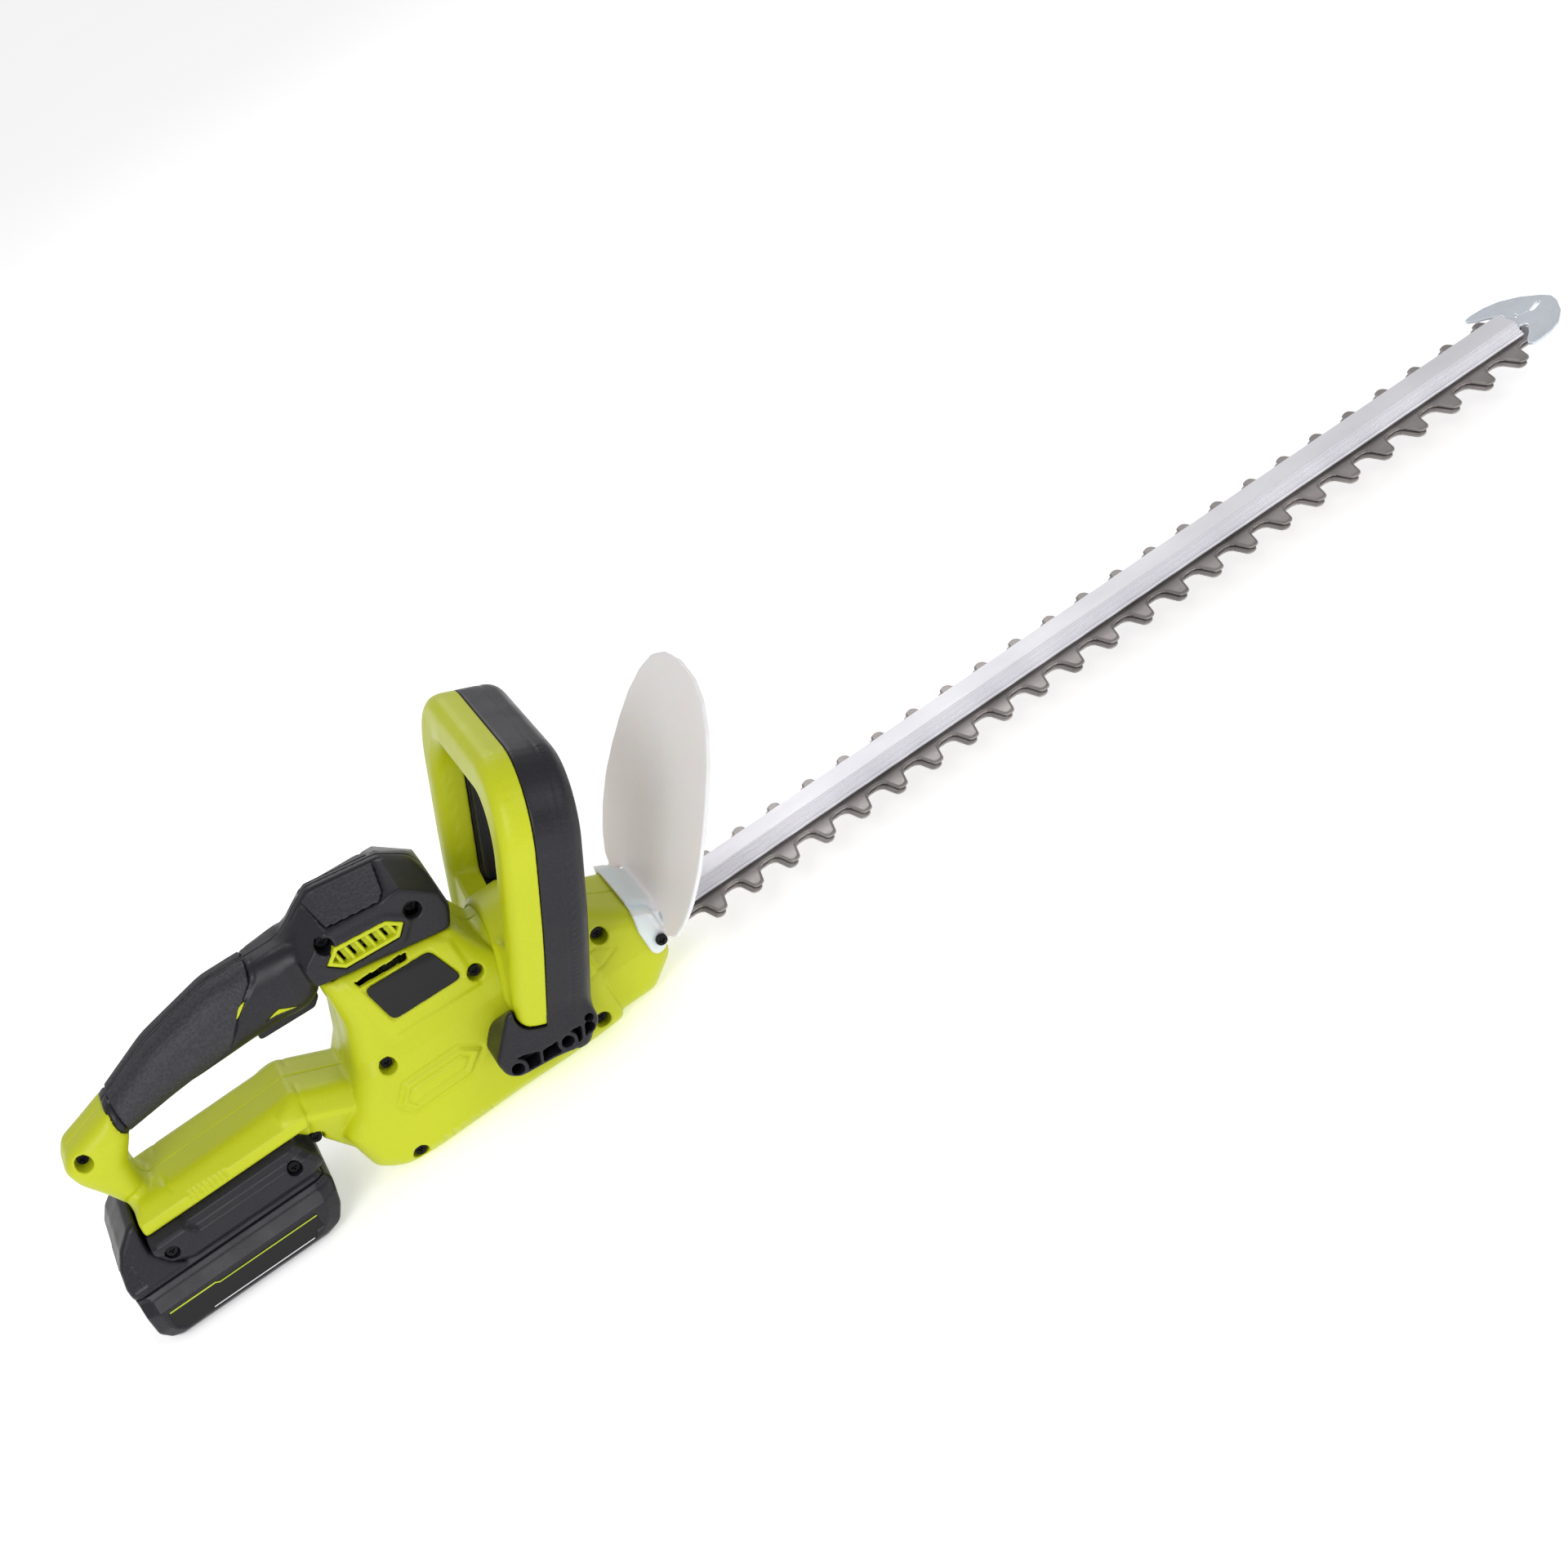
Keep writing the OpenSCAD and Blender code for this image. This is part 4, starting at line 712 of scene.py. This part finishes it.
def strip(name, points, wide, y, thick=0.25):
    """A thin printed line along the side of the battery, on both sides."""
    xs, zs = [p[0] for p in points], [p[1] for p in points]
    g = Grid((min(xs) - 1, y - 0.5, min(zs) - 1), (max(xs) + 1, y + 0.6, max(zs) + 1), 0.2)
    line = polyline(g.x, g.z, points) - wide / 2
    solid = np.maximum(line, np.abs(g.y - y) - thick / 2)
    return joined(name, both_sides(g, solid))


def make_latch():
    g = Grid((-53.6, 0, 19), (-48, 14.5, 40.5), 0.5)
    face = polygon(g.y, g.z, [(-9, 20.3), (13, 20.3), (13, 39), (-9, 39)])
    solid = rounded(face, np.abs(g.x + 51.2) - 1.5, 0.8)
    for z in (24, 27.5, 31, 34.5):
        solid = cut(solid, np.maximum(np.abs(g.z - z) - 0.8, np.maximum(g.y - 10, g.x + 52.2)), 0.4)
    return meshed("battery_latch", g, solid, whole=True)


# ---------------------------------------------------------------- hand guard

GUARD = Lean((257, 46), 39)
SADDLE = [(240.5, 28.5), (243, 25.5), (247.5, 25.5), (256, 34), (262, 52), (262, 64), (244, 66),
          (243, 56), (240, 42)]
GUARD_HALF = [(30, -4), (33, -4), (38, -8.5), (47, -9.5), (56, -6), (64, 3), (69.5, 16), (71.8, 32), (70, 48),
              (66, 64), (60, 80), (50, 95), (37.5, 106), (22, 112), (0, 114.5), (-30, 112), (-30, -4)]


def make_guard():
    """A thin leaning sheet that runs smoothly into a saddle over the nose of the body."""
    g = Grid((237, 0, 22), (331, 74, 137), 0.7)
    c, s = GUARD.c, GUARD.s
    u = (g.x - GUARD.foot[0]) * c - (g.z - GUARD.foot[1]) * s
    w = (g.x - GUARD.foot[0]) * s + (g.z - GUARD.foot[1]) * c
    flat = soften(polygon(g.y, w, GUARD_HALF), 2, g.step)
    bow = u - 0.4 + 0.0005 * (g.y - 20) ** 2
    sheet = rounded(flat, np.abs(bow) - 1.1, 0.9)

    body = evened(body_solid(g), g.step)
    side = soften(polygon(g.x, g.z, SADDLE), 2, g.step)
    saddle = meet(body - 2.6, side, 0.8)
    solid = cut(join(sheet, saddle, 7), body - 0.4)
    solid = meet(solid, u - 9, 1)
    # Way for the blade and the bar
    solid = cut(solid, np.maximum(g.y - 17.5, g.z - 36.2))
    screw = np.hypot(g.x - GUARD_SCREW[0], g.z - GUARD_SCREW[1])
    solid = cut(solid, np.maximum(screw - 1.7, np.abs(g.x - 248) - 8))
    return meshed("hand_guard", g, solid, whole=True)


# ---------------------------------------------------------------- cutting unit

PITCH, FIRST_TOOTH, TEETH = 21.5, 280, 24
SPINE, TIP, TIP_R = 14.5, 30.5, 3.2
CRANK_X = 166.8
BOLTS = [311 + 74 * i for i in range(7)]
BAR_START, BAR_END, BAR_TOP = 204, 789, 34.65


def tooth(x):
    """One tooth, from its front root round its tip to its rear root, pointing along +Y."""
    tip = arc(x, TIP - TIP_R, TIP_R, 6, 174, 8)
    root = [(8.9, SPINE), (6.6, SPINE + 1.2), (5.2, SPINE + 3.4)]
    return [(x + u, v) for u, v in root] + tip + [(x - u, v) for u, v in reversed(root)]


def blade_outline():
    """The toothed blade from above, counter-clockwise from its yoke."""
    start, end = CRANK_X - 28, CRANK_X + 29
    last = FIRST_TOOTH + (TEETH - 1) * PITCH + 21
    near = [p for i in range(TEETH) for p in reversed(tooth(FIRST_TOOTH + i * PITCH))]
    far = [p for i in reversed(range(TEETH)) for p in tooth(FIRST_TOOTH + (i + 0.5) * PITCH)]
    return ([(start, 21.8), (start, -21.8), (end, -21.8), (end + 4, -SPINE)] + [(x, -y) for x, y in near]
            + [(last, -SPINE), (last, SPINE)] + far + [(end + 4, SPINE), (end, 21.8)])


def inward(points, d):
    """A closed outline listed counter-clockwise, moved inwards by d."""
    p = np.array(points)
    run = np.roll(p, -1, 0) - p
    run /= np.linalg.norm(run, axis=1)[:, None]
    normal = np.stack([-run[:, 1], run[:, 0]], 1)
    before = np.roll(normal, 1, 0)
    scale = 1 + (before * normal).sum(1)
    return p + (before + normal) * (d / np.maximum(scale, 0.5))[:, None]


def make_blade(name, z, thick, shift):
    """A blade with its bolt slots and yoke window, moved along X by shift."""
    outline = blade_outline()
    slots = [arc(x + 5.5, 0, 4.3, -90, 90, 8) + arc(x - 5.5, 0, 4.3, 90, 270, 8) for x in BOLTS]
    yoke = [(CRANK_X - 21.9, -16.5), (CRANK_X + 21.9, -16.5), (CRANK_X + 21.9, 16.5), (CRANK_X - 21.9, 16.5)]
    loops = [outline] + slots + [yoke]
    bevel, ground = 0.25, 0.95
    # Levels from the bottom face to the top face; the teeth are ground back along their upper edge
    top = z + thick
    levels = [(z, bevel), (z + bevel, 0), (top - 0.75, 0), (top - 0.1, ground), (top, ground + 0.12)]
    bm = bmesh.new()
    layers = []
    for height, inset in levels:
        layer = []
        for i, line in enumerate(loops):
            p = inward(line, inset) if i == 0 else np.array(line)
            layer.append([bm.verts.new(((x + shift) * MM, y * MM, height * MM)) for x, y in p])
        layers.append(layer)
    for rings in zip(*layers):
        walls(bm, rings)
    for layer in (layers[0], layers[-1]):
        flat = [v for line in layer for v in line]
        for corners in tessellate_polygon([[v.co for v in line] for line in layer]):
            bm.faces.new([flat[k] for k in corners])
    bmesh.ops.recalc_face_normals(bm, faces=bm.faces)
    return from_bmesh(bm, name)


def make_bar():
    """The aluminium cover bar: a ribbed section carried along the blade."""
    half = [(9.6, 26.3), (9.6, 27.3), (12, 27.3), (12.1, 28.0), (11.7, 28.5)]
    foot, top = np.array((11.6, 28.5)), np.array((8.6, 34.1))
    for i in range(3):
        # Each ridge: out from the groove, along its crest and back in
        for part, out in ((0.1, -0.45), (0.45, 0.4), (0.6, 0.4), (0.95, -0.45)):
            half.append(tuple(foot + (top - foot) * (i + part) / 3.1 + np.array((0.88, 0.47)) * out))
    half += [(8.4, 34.3), (7.8, BAR_TOP)]
    section = half + [(-y, z) for y, z in reversed(half)]
    stations = [(BAR_START, 0.35), (BAR_START + 0.6, 0), (BAR_END - 0.6, 0), (BAR_END, 0.35)]
    bm = bmesh.new()
    rows = []
    for x, inset in stations:
        p = inward(section, inset)
        rows.append([bm.verts.new((x * MM, y * MM, z * MM)) for y, z in p])
    walls(bm, rows)
    bm.faces.new(rows[0])
    bm.faces.new(rows[-1])
    bmesh.ops.recalc_face_normals(bm, faces=bm.faces)
    return from_bmesh(bm, "blade_bar")


TIP_HALF = [(747, -5), (747, 6.5), (789.5, 6.5), (792.4, 8.5), (792.8, 12), (788, 19), (783.5, 23.5),
            (781, 27.5), (782, 30.3), (786, 31), (793.5, 30.2), (801.5, 26.6), (809.5, 18), (815.2, 7),
            (817, 0), (817, -5)]


def make_tip():
    """The flat fish tail beyond the blades, with its slot and its bent slit."""
    g = Grid((743, -32, 28.8), (818.4, 32, 31.6), 0.36)
    x, y = g.x, g.y
    flat = soften(polygon(x, np.abs(y), TIP_HALF), 0.9, g.step)
    flat = cut(flat, polyline(x, y, [(804.0, -0.4), (808.4, 1.6)]) - 1.8)
    flat = cut(flat, polyline(x, y, [(796.3, 4.8), (795.4, 1.6), (800.2, 0.0)]) - 0.5)
    flat = cut(flat, np.hypot(x - BOLTS[-1], y) - 2.7)
    return meshed("tip_guard", g, rounded(flat, np.abs(g.z - 30.15) - 0.75, 0.35))


def make_guard_screws():
    """Pan-head screws with a cross recess, one on each side of the guard."""
    x0, z0 = GUARD_SCREW
    g = Grid((x0 - 4, 22, z0 - 4), (x0 + 4, 36.5, z0 + 4), 0.25)
    r = np.hypot(g.x - x0, g.z - z0)
    head = meet(rounded(r - 3.0, np.maximum(g.y - 35.4, 33.4 - g.y), 0.7), r - 3.0)
    cross = np.minimum(np.maximum(np.abs(g.x - x0) - 0.45, np.abs(g.z - z0) - 1.7),
                       np.maximum(np.abs(g.z - z0) - 0.45, np.abs(g.x - x0) - 1.7))
    head = cut(head, np.maximum(cross, 34.3 - g.y))
    shank = np.maximum(r - 1.4, np.maximum(23 - g.y, g.y - 33.6))
    return joined("guard_screws", both_sides(g, join(head, shank)))


# ---------------------------------------------------------------- finishes

def srgb(r, g, b):
    """A colour given as 0 to 255, as linear values."""
    values = (c / 255 for c in (r, g, b))
    return tuple(v / 12.92 if v < 0.04 else ((v + 0.055) / 1.055) ** 2.4 for v in values) + (1.0,)


class Finish:
    """A material whose nodes are added one by one."""

    def __init__(self, name, **sockets):
        self.material = bpy.data.materials.new(name)
        self.material.use_nodes = True
        self.tree = self.material.node_tree
        self.shader = self.tree.nodes["Principled BSDF"]
        self.place = self.add("ShaderNodeTexCoord").outputs["Object"]
        for socket, value in sockets.items():
            self.shader.inputs[socket.replace("_", " ")].default_value = value

    def add(self, kind, **settings):
        node = self.tree.nodes.new(kind)
        for key, value in settings.items():
            setattr(node, key, value)
        return node

    def link(self, a, b):
        self.tree.links.new(a, b)

    def noise(self, scale, detail=3.0, stretch=None):
        """Noise with scale in waves per metre, stretched along an axis if asked."""
        node = self.add("ShaderNodeTexNoise")
        node.inputs["Scale"].default_value = scale
        node.inputs["Detail"].default_value = detail
        source = self.place
        if stretch:
            mapping = self.add("ShaderNodeMapping")
            mapping.inputs["Scale"].default_value = stretch
            self.link(source, mapping.inputs["Vector"])
            source = mapping.outputs["Vector"]
        self.link(source, node.inputs["Vector"])
        return node.outputs["Fac"]

    def cells(self, scale):
        node = self.add("ShaderNodeTexVoronoi", feature="F1")
        node.inputs["Scale"].default_value = scale
        self.link(self.place, node.inputs["Vector"])
        return node.outputs["Distance"]

    def between(self, value, low, high, start=0.0, end=1.0):
        """A value of start to end, mapped to low to high."""
        node = self.add("ShaderNodeMapRange")
        for key, number in (("From Min", start), ("From Max", end), ("To Min", low), ("To Max", high)):
            node.inputs[key].default_value = number
        self.link(value, node.inputs["Value"])
        return node.outputs["Result"]

    def mix(self, factor, a, b):
        node = self.add("ShaderNodeMix", data_type="RGBA")
        self.link(factor, node.inputs["Factor"])
        for socket, colour in ((node.inputs[6], a), (node.inputs[7], b)):
            if isinstance(colour, tuple):
                socket.default_value = colour
            else:
                self.link(colour, socket)
        return node.outputs[2]

    def edges(self, low=0.52, high=0.62):
        """How far a place is on a convex edge, from the mesh's own curvature, for painting scuffs and a
        painted edge highlight there.
        """
        node = self.add("ShaderNodeNewGeometry")
        return self.between(node.outputs["Pointiness"], 0, 1, low, high)

    def colour(self, socket):
        self.link(socket, self.shader.inputs["Base Color"])

    def rough(self, socket):
        self.link(socket, self.shader.inputs["Roughness"])

    def bump(self, *heights):
        """Bumps on top of each other, each a (height, distance in mm) pair."""
        normal = None
        for height, distance in heights:
            node = self.add("ShaderNodeBump")
            node.inputs["Distance"].default_value = distance * MM
            self.link(height, node.inputs["Height"])
            if normal:
                self.link(normal, node.inputs["Normal"])
            normal = node.outputs["Normal"]
        self.link(normal, self.shader.inputs["Normal"])


def plastic(name, colour, light, dark, rough, grain, depth, wear_and_edge_highlight=0.5):
    """Moulded plastic: a spark-eroded grain, faint clouding, and convex edges painted lighter, partly as
    scuffs and partly as a painted edge highlight.
    """
    f = Finish(name, Specular_IOR_Level=0.35)
    cloud = f.noise(14, 4)
    speck = f.noise(grain, 2)
    colour, light, dark = srgb(*colour), srgb(*light), srgb(*dark)
    tone = f.mix(f.between(cloud, 0, 1, 0.3, 0.7), dark, colour)
    tone = f.mix(f.between(speck, 0, 0.35, 0.45, 0.75), tone, light)
    # Convex edges are painted in the lighter colour in noisy patches: partly scuffed wear, partly a painted
    # highlight where edges catch the light.
    scuff_and_edge_highlight = f.add("ShaderNodeMath", operation="MULTIPLY")
    f.link(f.edges(), scuff_and_edge_highlight.inputs[0])
    f.link(f.between(f.noise(160, 3), 0, wear_and_edge_highlight, 0.45, 0.7), scuff_and_edge_highlight.inputs[1])
    f.colour(f.mix(scuff_and_edge_highlight.outputs[0], tone, light))
    f.rough(f.between(f.noise(60, 5), rough - 0.06, rough + 0.08, 0.3, 0.7))
    f.bump((speck, depth), (f.noise(35, 2), 0.05))
    return f.material


def metal(name, colour, dark, rough, stretch=None, scale=900, depth=0.012, shine=1.0):
    """Machined or drawn metal, with lines if stretched. Less shine makes it satin."""
    f = Finish(name, Metallic=shine)
    lines = f.noise(scale, 4, stretch)
    stain = f.noise(22, 5)
    f.colour(f.mix(f.between(stain, 0, 1, 0.35, 0.75), srgb(*colour), srgb(*dark)))
    f.rough(f.between(lines, rough - 0.08, rough + 0.1, 0.3, 0.7))
    f.bump((lines, depth))
    return f.material


def soft_grip(name):
    """Over-moulded rubber with a leather grain."""
    f = Finish(name)
    grain = f.cells(620)
    fine = f.noise(2400, 2)
    f.colour(f.mix(f.between(grain, 0, 1, 0.0, 0.8), srgb(25, 24, 29), srgb(46, 45, 52)))
    f.rough(f.between(fine, 0.5, 0.68, 0.3, 0.7))
    f.bump((grain, 0.22), (fine, 0.03))
    return f.material


def guard_plastic(name):
    """Milky translucent sheet."""
    f = Finish(name, Transmission_Weight=0.18, IOR=1.45, Subsurface_Weight=0.4, Subsurface_Scale=0.01)
    cloud = f.noise(18, 4)
    f.colour(f.mix(f.between(cloud, 0, 1, 0.3, 0.7), srgb(250, 246, 248), srgb(253, 251, 252)))
    f.rough(f.between(f.noise(90, 4), 0.34, 0.46, 0.3, 0.7))
    f.bump((f.noise(700, 2), 0.01))
    return f.material


# Colour, specks and lighter edges (scuffs and painted edge highlight), clouds, roughness, waves of grain per
# metre, its depth in mm, and the strength of the edge scuffs and painted edge highlight
PLASTICS = {
    "lime_plastic": ((190, 198, 22), (208, 215, 66), (182, 190, 16), 0.38, 2600, 0.02, 0.25),
    "black_plastic": ((26, 25, 31), (62, 61, 72), (21, 20, 26), 0.38, 2200, 0.05),
    "plate_black": ((12, 12, 14), (28, 28, 31), (9, 9, 11), 0.34, 1800, 0.01),
    "cell_wrap": ((60, 120, 170), (120, 170, 205), (50, 105, 150), 0.35, 900, 0.01),
    "board_green": ((34, 92, 52), (90, 140, 90), (26, 76, 42), 0.4, 700, 0.01),
    "white_plastic": ((228, 228, 224), (245, 245, 242), (214, 214, 208), 0.42, 1500, 0.02),
    "lime_line": ((190, 205, 40), (220, 230, 90), (176, 192, 30), 0.4, 1500, 0.005),
    "white_line": ((225, 226, 228), (240, 240, 242), (205, 206, 208), 0.4, 1500, 0.005),
}
# Colour, stains, roughness, and where they differ from plain turned metal: the stretch of its
# lines, their waves per metre, their depth in mm and how metallic it is
METALS = {
    "steel": ((160, 154, 152), (130, 125, 123), 0.38, (0.2, 1, 1), 1600, 0.008, 0.8),
    "bright_steel": ((205, 205, 210), (170, 170, 176), 0.25),
    "black_steel": ((40, 40, 42), (24, 24, 26), 0.38),
    "cover_aluminium": ((232, 231, 236), (218, 217, 223), 0.42, (0.012, 1, 1), 2600, 0.008, 0.4),
    "cast_alloy": ((160, 162, 166), (126, 128, 132), 0.5, None, 500, 0.05),
    "zinc_steel": ((220, 226, 234), (206, 213, 223), 0.34, None, 300, 0.004, 0.5),
    "magnet": ((90, 90, 94), (64, 64, 68), 0.45),
    "copper": ((205, 120, 74), (160, 84, 50), 0.3),
    "bronze": ((190, 150, 90), (150, 112, 64), 0.36),
}
FINISHES = {name: plastic(name, *row) for name, row in PLASTICS.items()}
FINISHES.update({name: metal(name, *row) for name, row in METALS.items()})
FINISHES["soft_grip"] = soft_grip("soft_grip")
FINISHES["guard_plastic"] = guard_plastic("guard_plastic")
SLOT_OF = {s["node"]: s["material_slot"] for s in frame["record"]["subparts"]}


# ---------------------------------------------------------------- springs

SPRINGS = {
    # Bases of the coils, axis, coil and wire diameters, length, turns, body, joint, the end that
    # stays, and the share of the length that is left when pressed
    "latch_spring": ([(-49.5, 0, 26)], (1, 0, 0), 6, 0.6, 3.3, 2,
                     "battery", "latch_press", (-46.2, 0, 26), 0.1),
    "trigger_spring": ([(71, 0, 105.4)], (0, 0, 1), 5, 0.8, 10.8, 4,
                       "tool", "trigger_pull", (71, 0, 116.2), 0.58),
    "lever_springs": ([(232.45, y, 140.85) for y in (-22, 22)], (0.398749, 0, 0.91706), 7, 1.0, 17.7, 5,
                      "tool", "lever_press", (239.5, 0, 157.08), 0.76),
}


def coil(bm, base, axis, across, wire, length, turns):
    """A helix of round wire, as a closed tube."""
    side = Vector((0, 1, 0))
    up = Vector(axis).cross(side)
    steps, rings = 20 * turns, []
    for i in range(steps + 1):
        a = 2 * math.pi * i / 20
        out = side * math.cos(a) + up * math.sin(a)
        middle = Vector(base) + out * across / 2 + Vector(axis) * (wire / 2 + (length - wire) * i / steps)
        angles = [2 * math.pi * k / 8 for k in range(8)]
        points = [middle + (out * math.cos(b) + Vector(axis) * math.sin(b)) * wire / 2 for b in angles]
        rings.append([bm.verts.new(p * MM) for p in points])
    walls(bm, rings)
    bm.faces.new(rings[0])
    bm.faces.new(rings[-1])


def add_spring(name):
    bases, axis, across, wire, length, turns, body, joint, anchor, keep = SPRINGS[name]
    bm = bmesh.new()
    for base in bases:
        coil(bm, base, axis, across, wire, length, turns)
    bmesh.ops.recalc_face_normals(bm, faces=bm.faces)
    thing = show(from_bmesh(bm, name), name, body)
    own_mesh(thing)


# ---------------------------------------------------------------- assembly

def show(thing, node, body="tool"):
    """Puts a piece in the place of its CAD node, with the finish of the node's material slot."""
    return placed(thing, body, FINISHES[SLOT_OF[node]], SLOT_OF[node], node)


def finish_cad_nodes():
    """Every CAD node that stays in view takes the procedural finish of its material slot."""
    for name, node in frame["nodes"].items():
        node.data.materials.clear()
        node.data.materials.append(FINISHES[SLOT_OF[name]])


def build():
    finish_cad_nodes()
    for side, name in ((NEAR, "left"), (FAR, "right")):
        show(make_housing(side, "housing_" + name), "housing_" + name)
        show(make_grip(side, "grip_" + name), "grip_" + name)
    show(make_pads(), "grip_pads")
    placed(make_flames(), "tool", FINISHES["lime_plastic"], "lime_plastic")
    show(make_vents(), "vent_grilles")
    show(make_rating_plate(), "rating_plate")
    show(make_trigger(), "trigger", "trigger")
    show(make_loop_rear(), "loop_rear_shell")
    show(make_loop_front(), "loop_front_shell")
    show(make_lever(), "front_lever", "lever")
    show(make_dock(), "dock")
    show(make_battery_lower(), "battery_lower", "battery")
    show(make_battery_upper(), "battery_upper", "battery")
    show(make_battery_panels(), "battery_panels", "battery")
    show(make_latch(), "battery_latch", "latch")
    top = strip("label_top_line", [(-42, 18.0), (-17, 18.0), (-15, 16.9), (39, 16.9)], 0.7, 37.5)
    low = strip("label_low_line", [(-24, 7.2), (32, 7.2)], 0.5, 37.5)
    placed(top, "battery", FINISHES["lime_line"], "lime_plastic")
    placed(low, "battery", FINISHES["white_line"], "white_plastic")
    show(make_guard(), "hand_guard")
    show(make_guard_screws(), "guard_screws")
    show(make_blade("upper_blade", 24.2, 1.8, 1), "upper_blade", "blade_top")
    show(make_blade("lower_blade", 22.1, 1.8, -1), "lower_blade", "blade_bottom")
    show(make_bar(), "blade_bar")
    show(make_tip(), "tip_guard")
    for name in SPRINGS:
        add_spring(name)


build()


# ---------------------------------------------------------------- studio

def add_floor():
    bm = bmesh.new()
    bmesh.ops.create_grid(bm, x_segments=2, y_segments=2, size=60)
    floor = from_bmesh(bm, "floor")
    f = Finish("floor")
    f.colour(f.mix(f.noise(3, 2), srgb(246, 246, 246), srgb(250, 250, 250)))
    f.rough(f.between(f.noise(40, 2), 0.7, 0.8))
    f.shader.inputs["Emission Color"].default_value = (1, 1, 1, 1)
    f.shader.inputs["Emission Strength"].default_value = 0.42
    floor.data.materials.append(f.material)


def add_light(name, place, aim, size, power):
    light = bpy.data.lights.new(name, "AREA")
    light.shape, light.size, light.energy = "SQUARE", size, power
    lamp = linked(name, light)
    lamp.location = place
    lamp.rotation_euler = (Vector(aim) - Vector(place)).to_track_quat("-Z", "Y").to_euler()


def add_camera():
    """The view of the photograph: from the left and above, rolled so that the blade climbs."""
    # The camera's turn, as an axis as long as its angle, and its eye about a point on the blade
    axis = Vector((1.9555, -0.6809, -0.2437))
    turn = Matrix.Rotation(axis.length, 3, axis.normalized())
    eye = Vector((280, 0, 26)) - turn.transposed() @ Vector((-41.3956, 50.57, 1374.3062))
    facing = Matrix((turn[0], -turn[1], -turn[2])).transposed()
    camera = bpy.data.cameras.new("camera")
    camera.lens, camera.sensor_width, camera.clip_end = 63.75, 36, 50
    holder = linked("camera", camera)
    holder.matrix_world = Matrix.Translation(eye * MM) @ facing.to_4x4()
    bpy.context.scene.camera = holder


def add_world():
    world = bpy.data.worlds.new("studio")
    bpy.context.scene.world = world
    world.use_nodes = True
    background = world.node_tree.nodes["Background"]
    background.inputs["Color"].default_value = (1, 1, 1, 1)
    background.inputs["Strength"].default_value = 0.5


add_floor()
add_world()
add_light("key", (-0.7, -1.7, 1.4), (0.25, 0, 0.05), 1.2, 25)
add_light("fill", (1.6, -1.4, 1.2), (0.4, 0, 0.05), 1.0, 6)
add_light("back", (0.6, 1.6, 1.4), (0.3, 0, 0.08), 1.0, 7)
add_camera()
bpy.context.scene.view_settings.view_transform = "Standard"
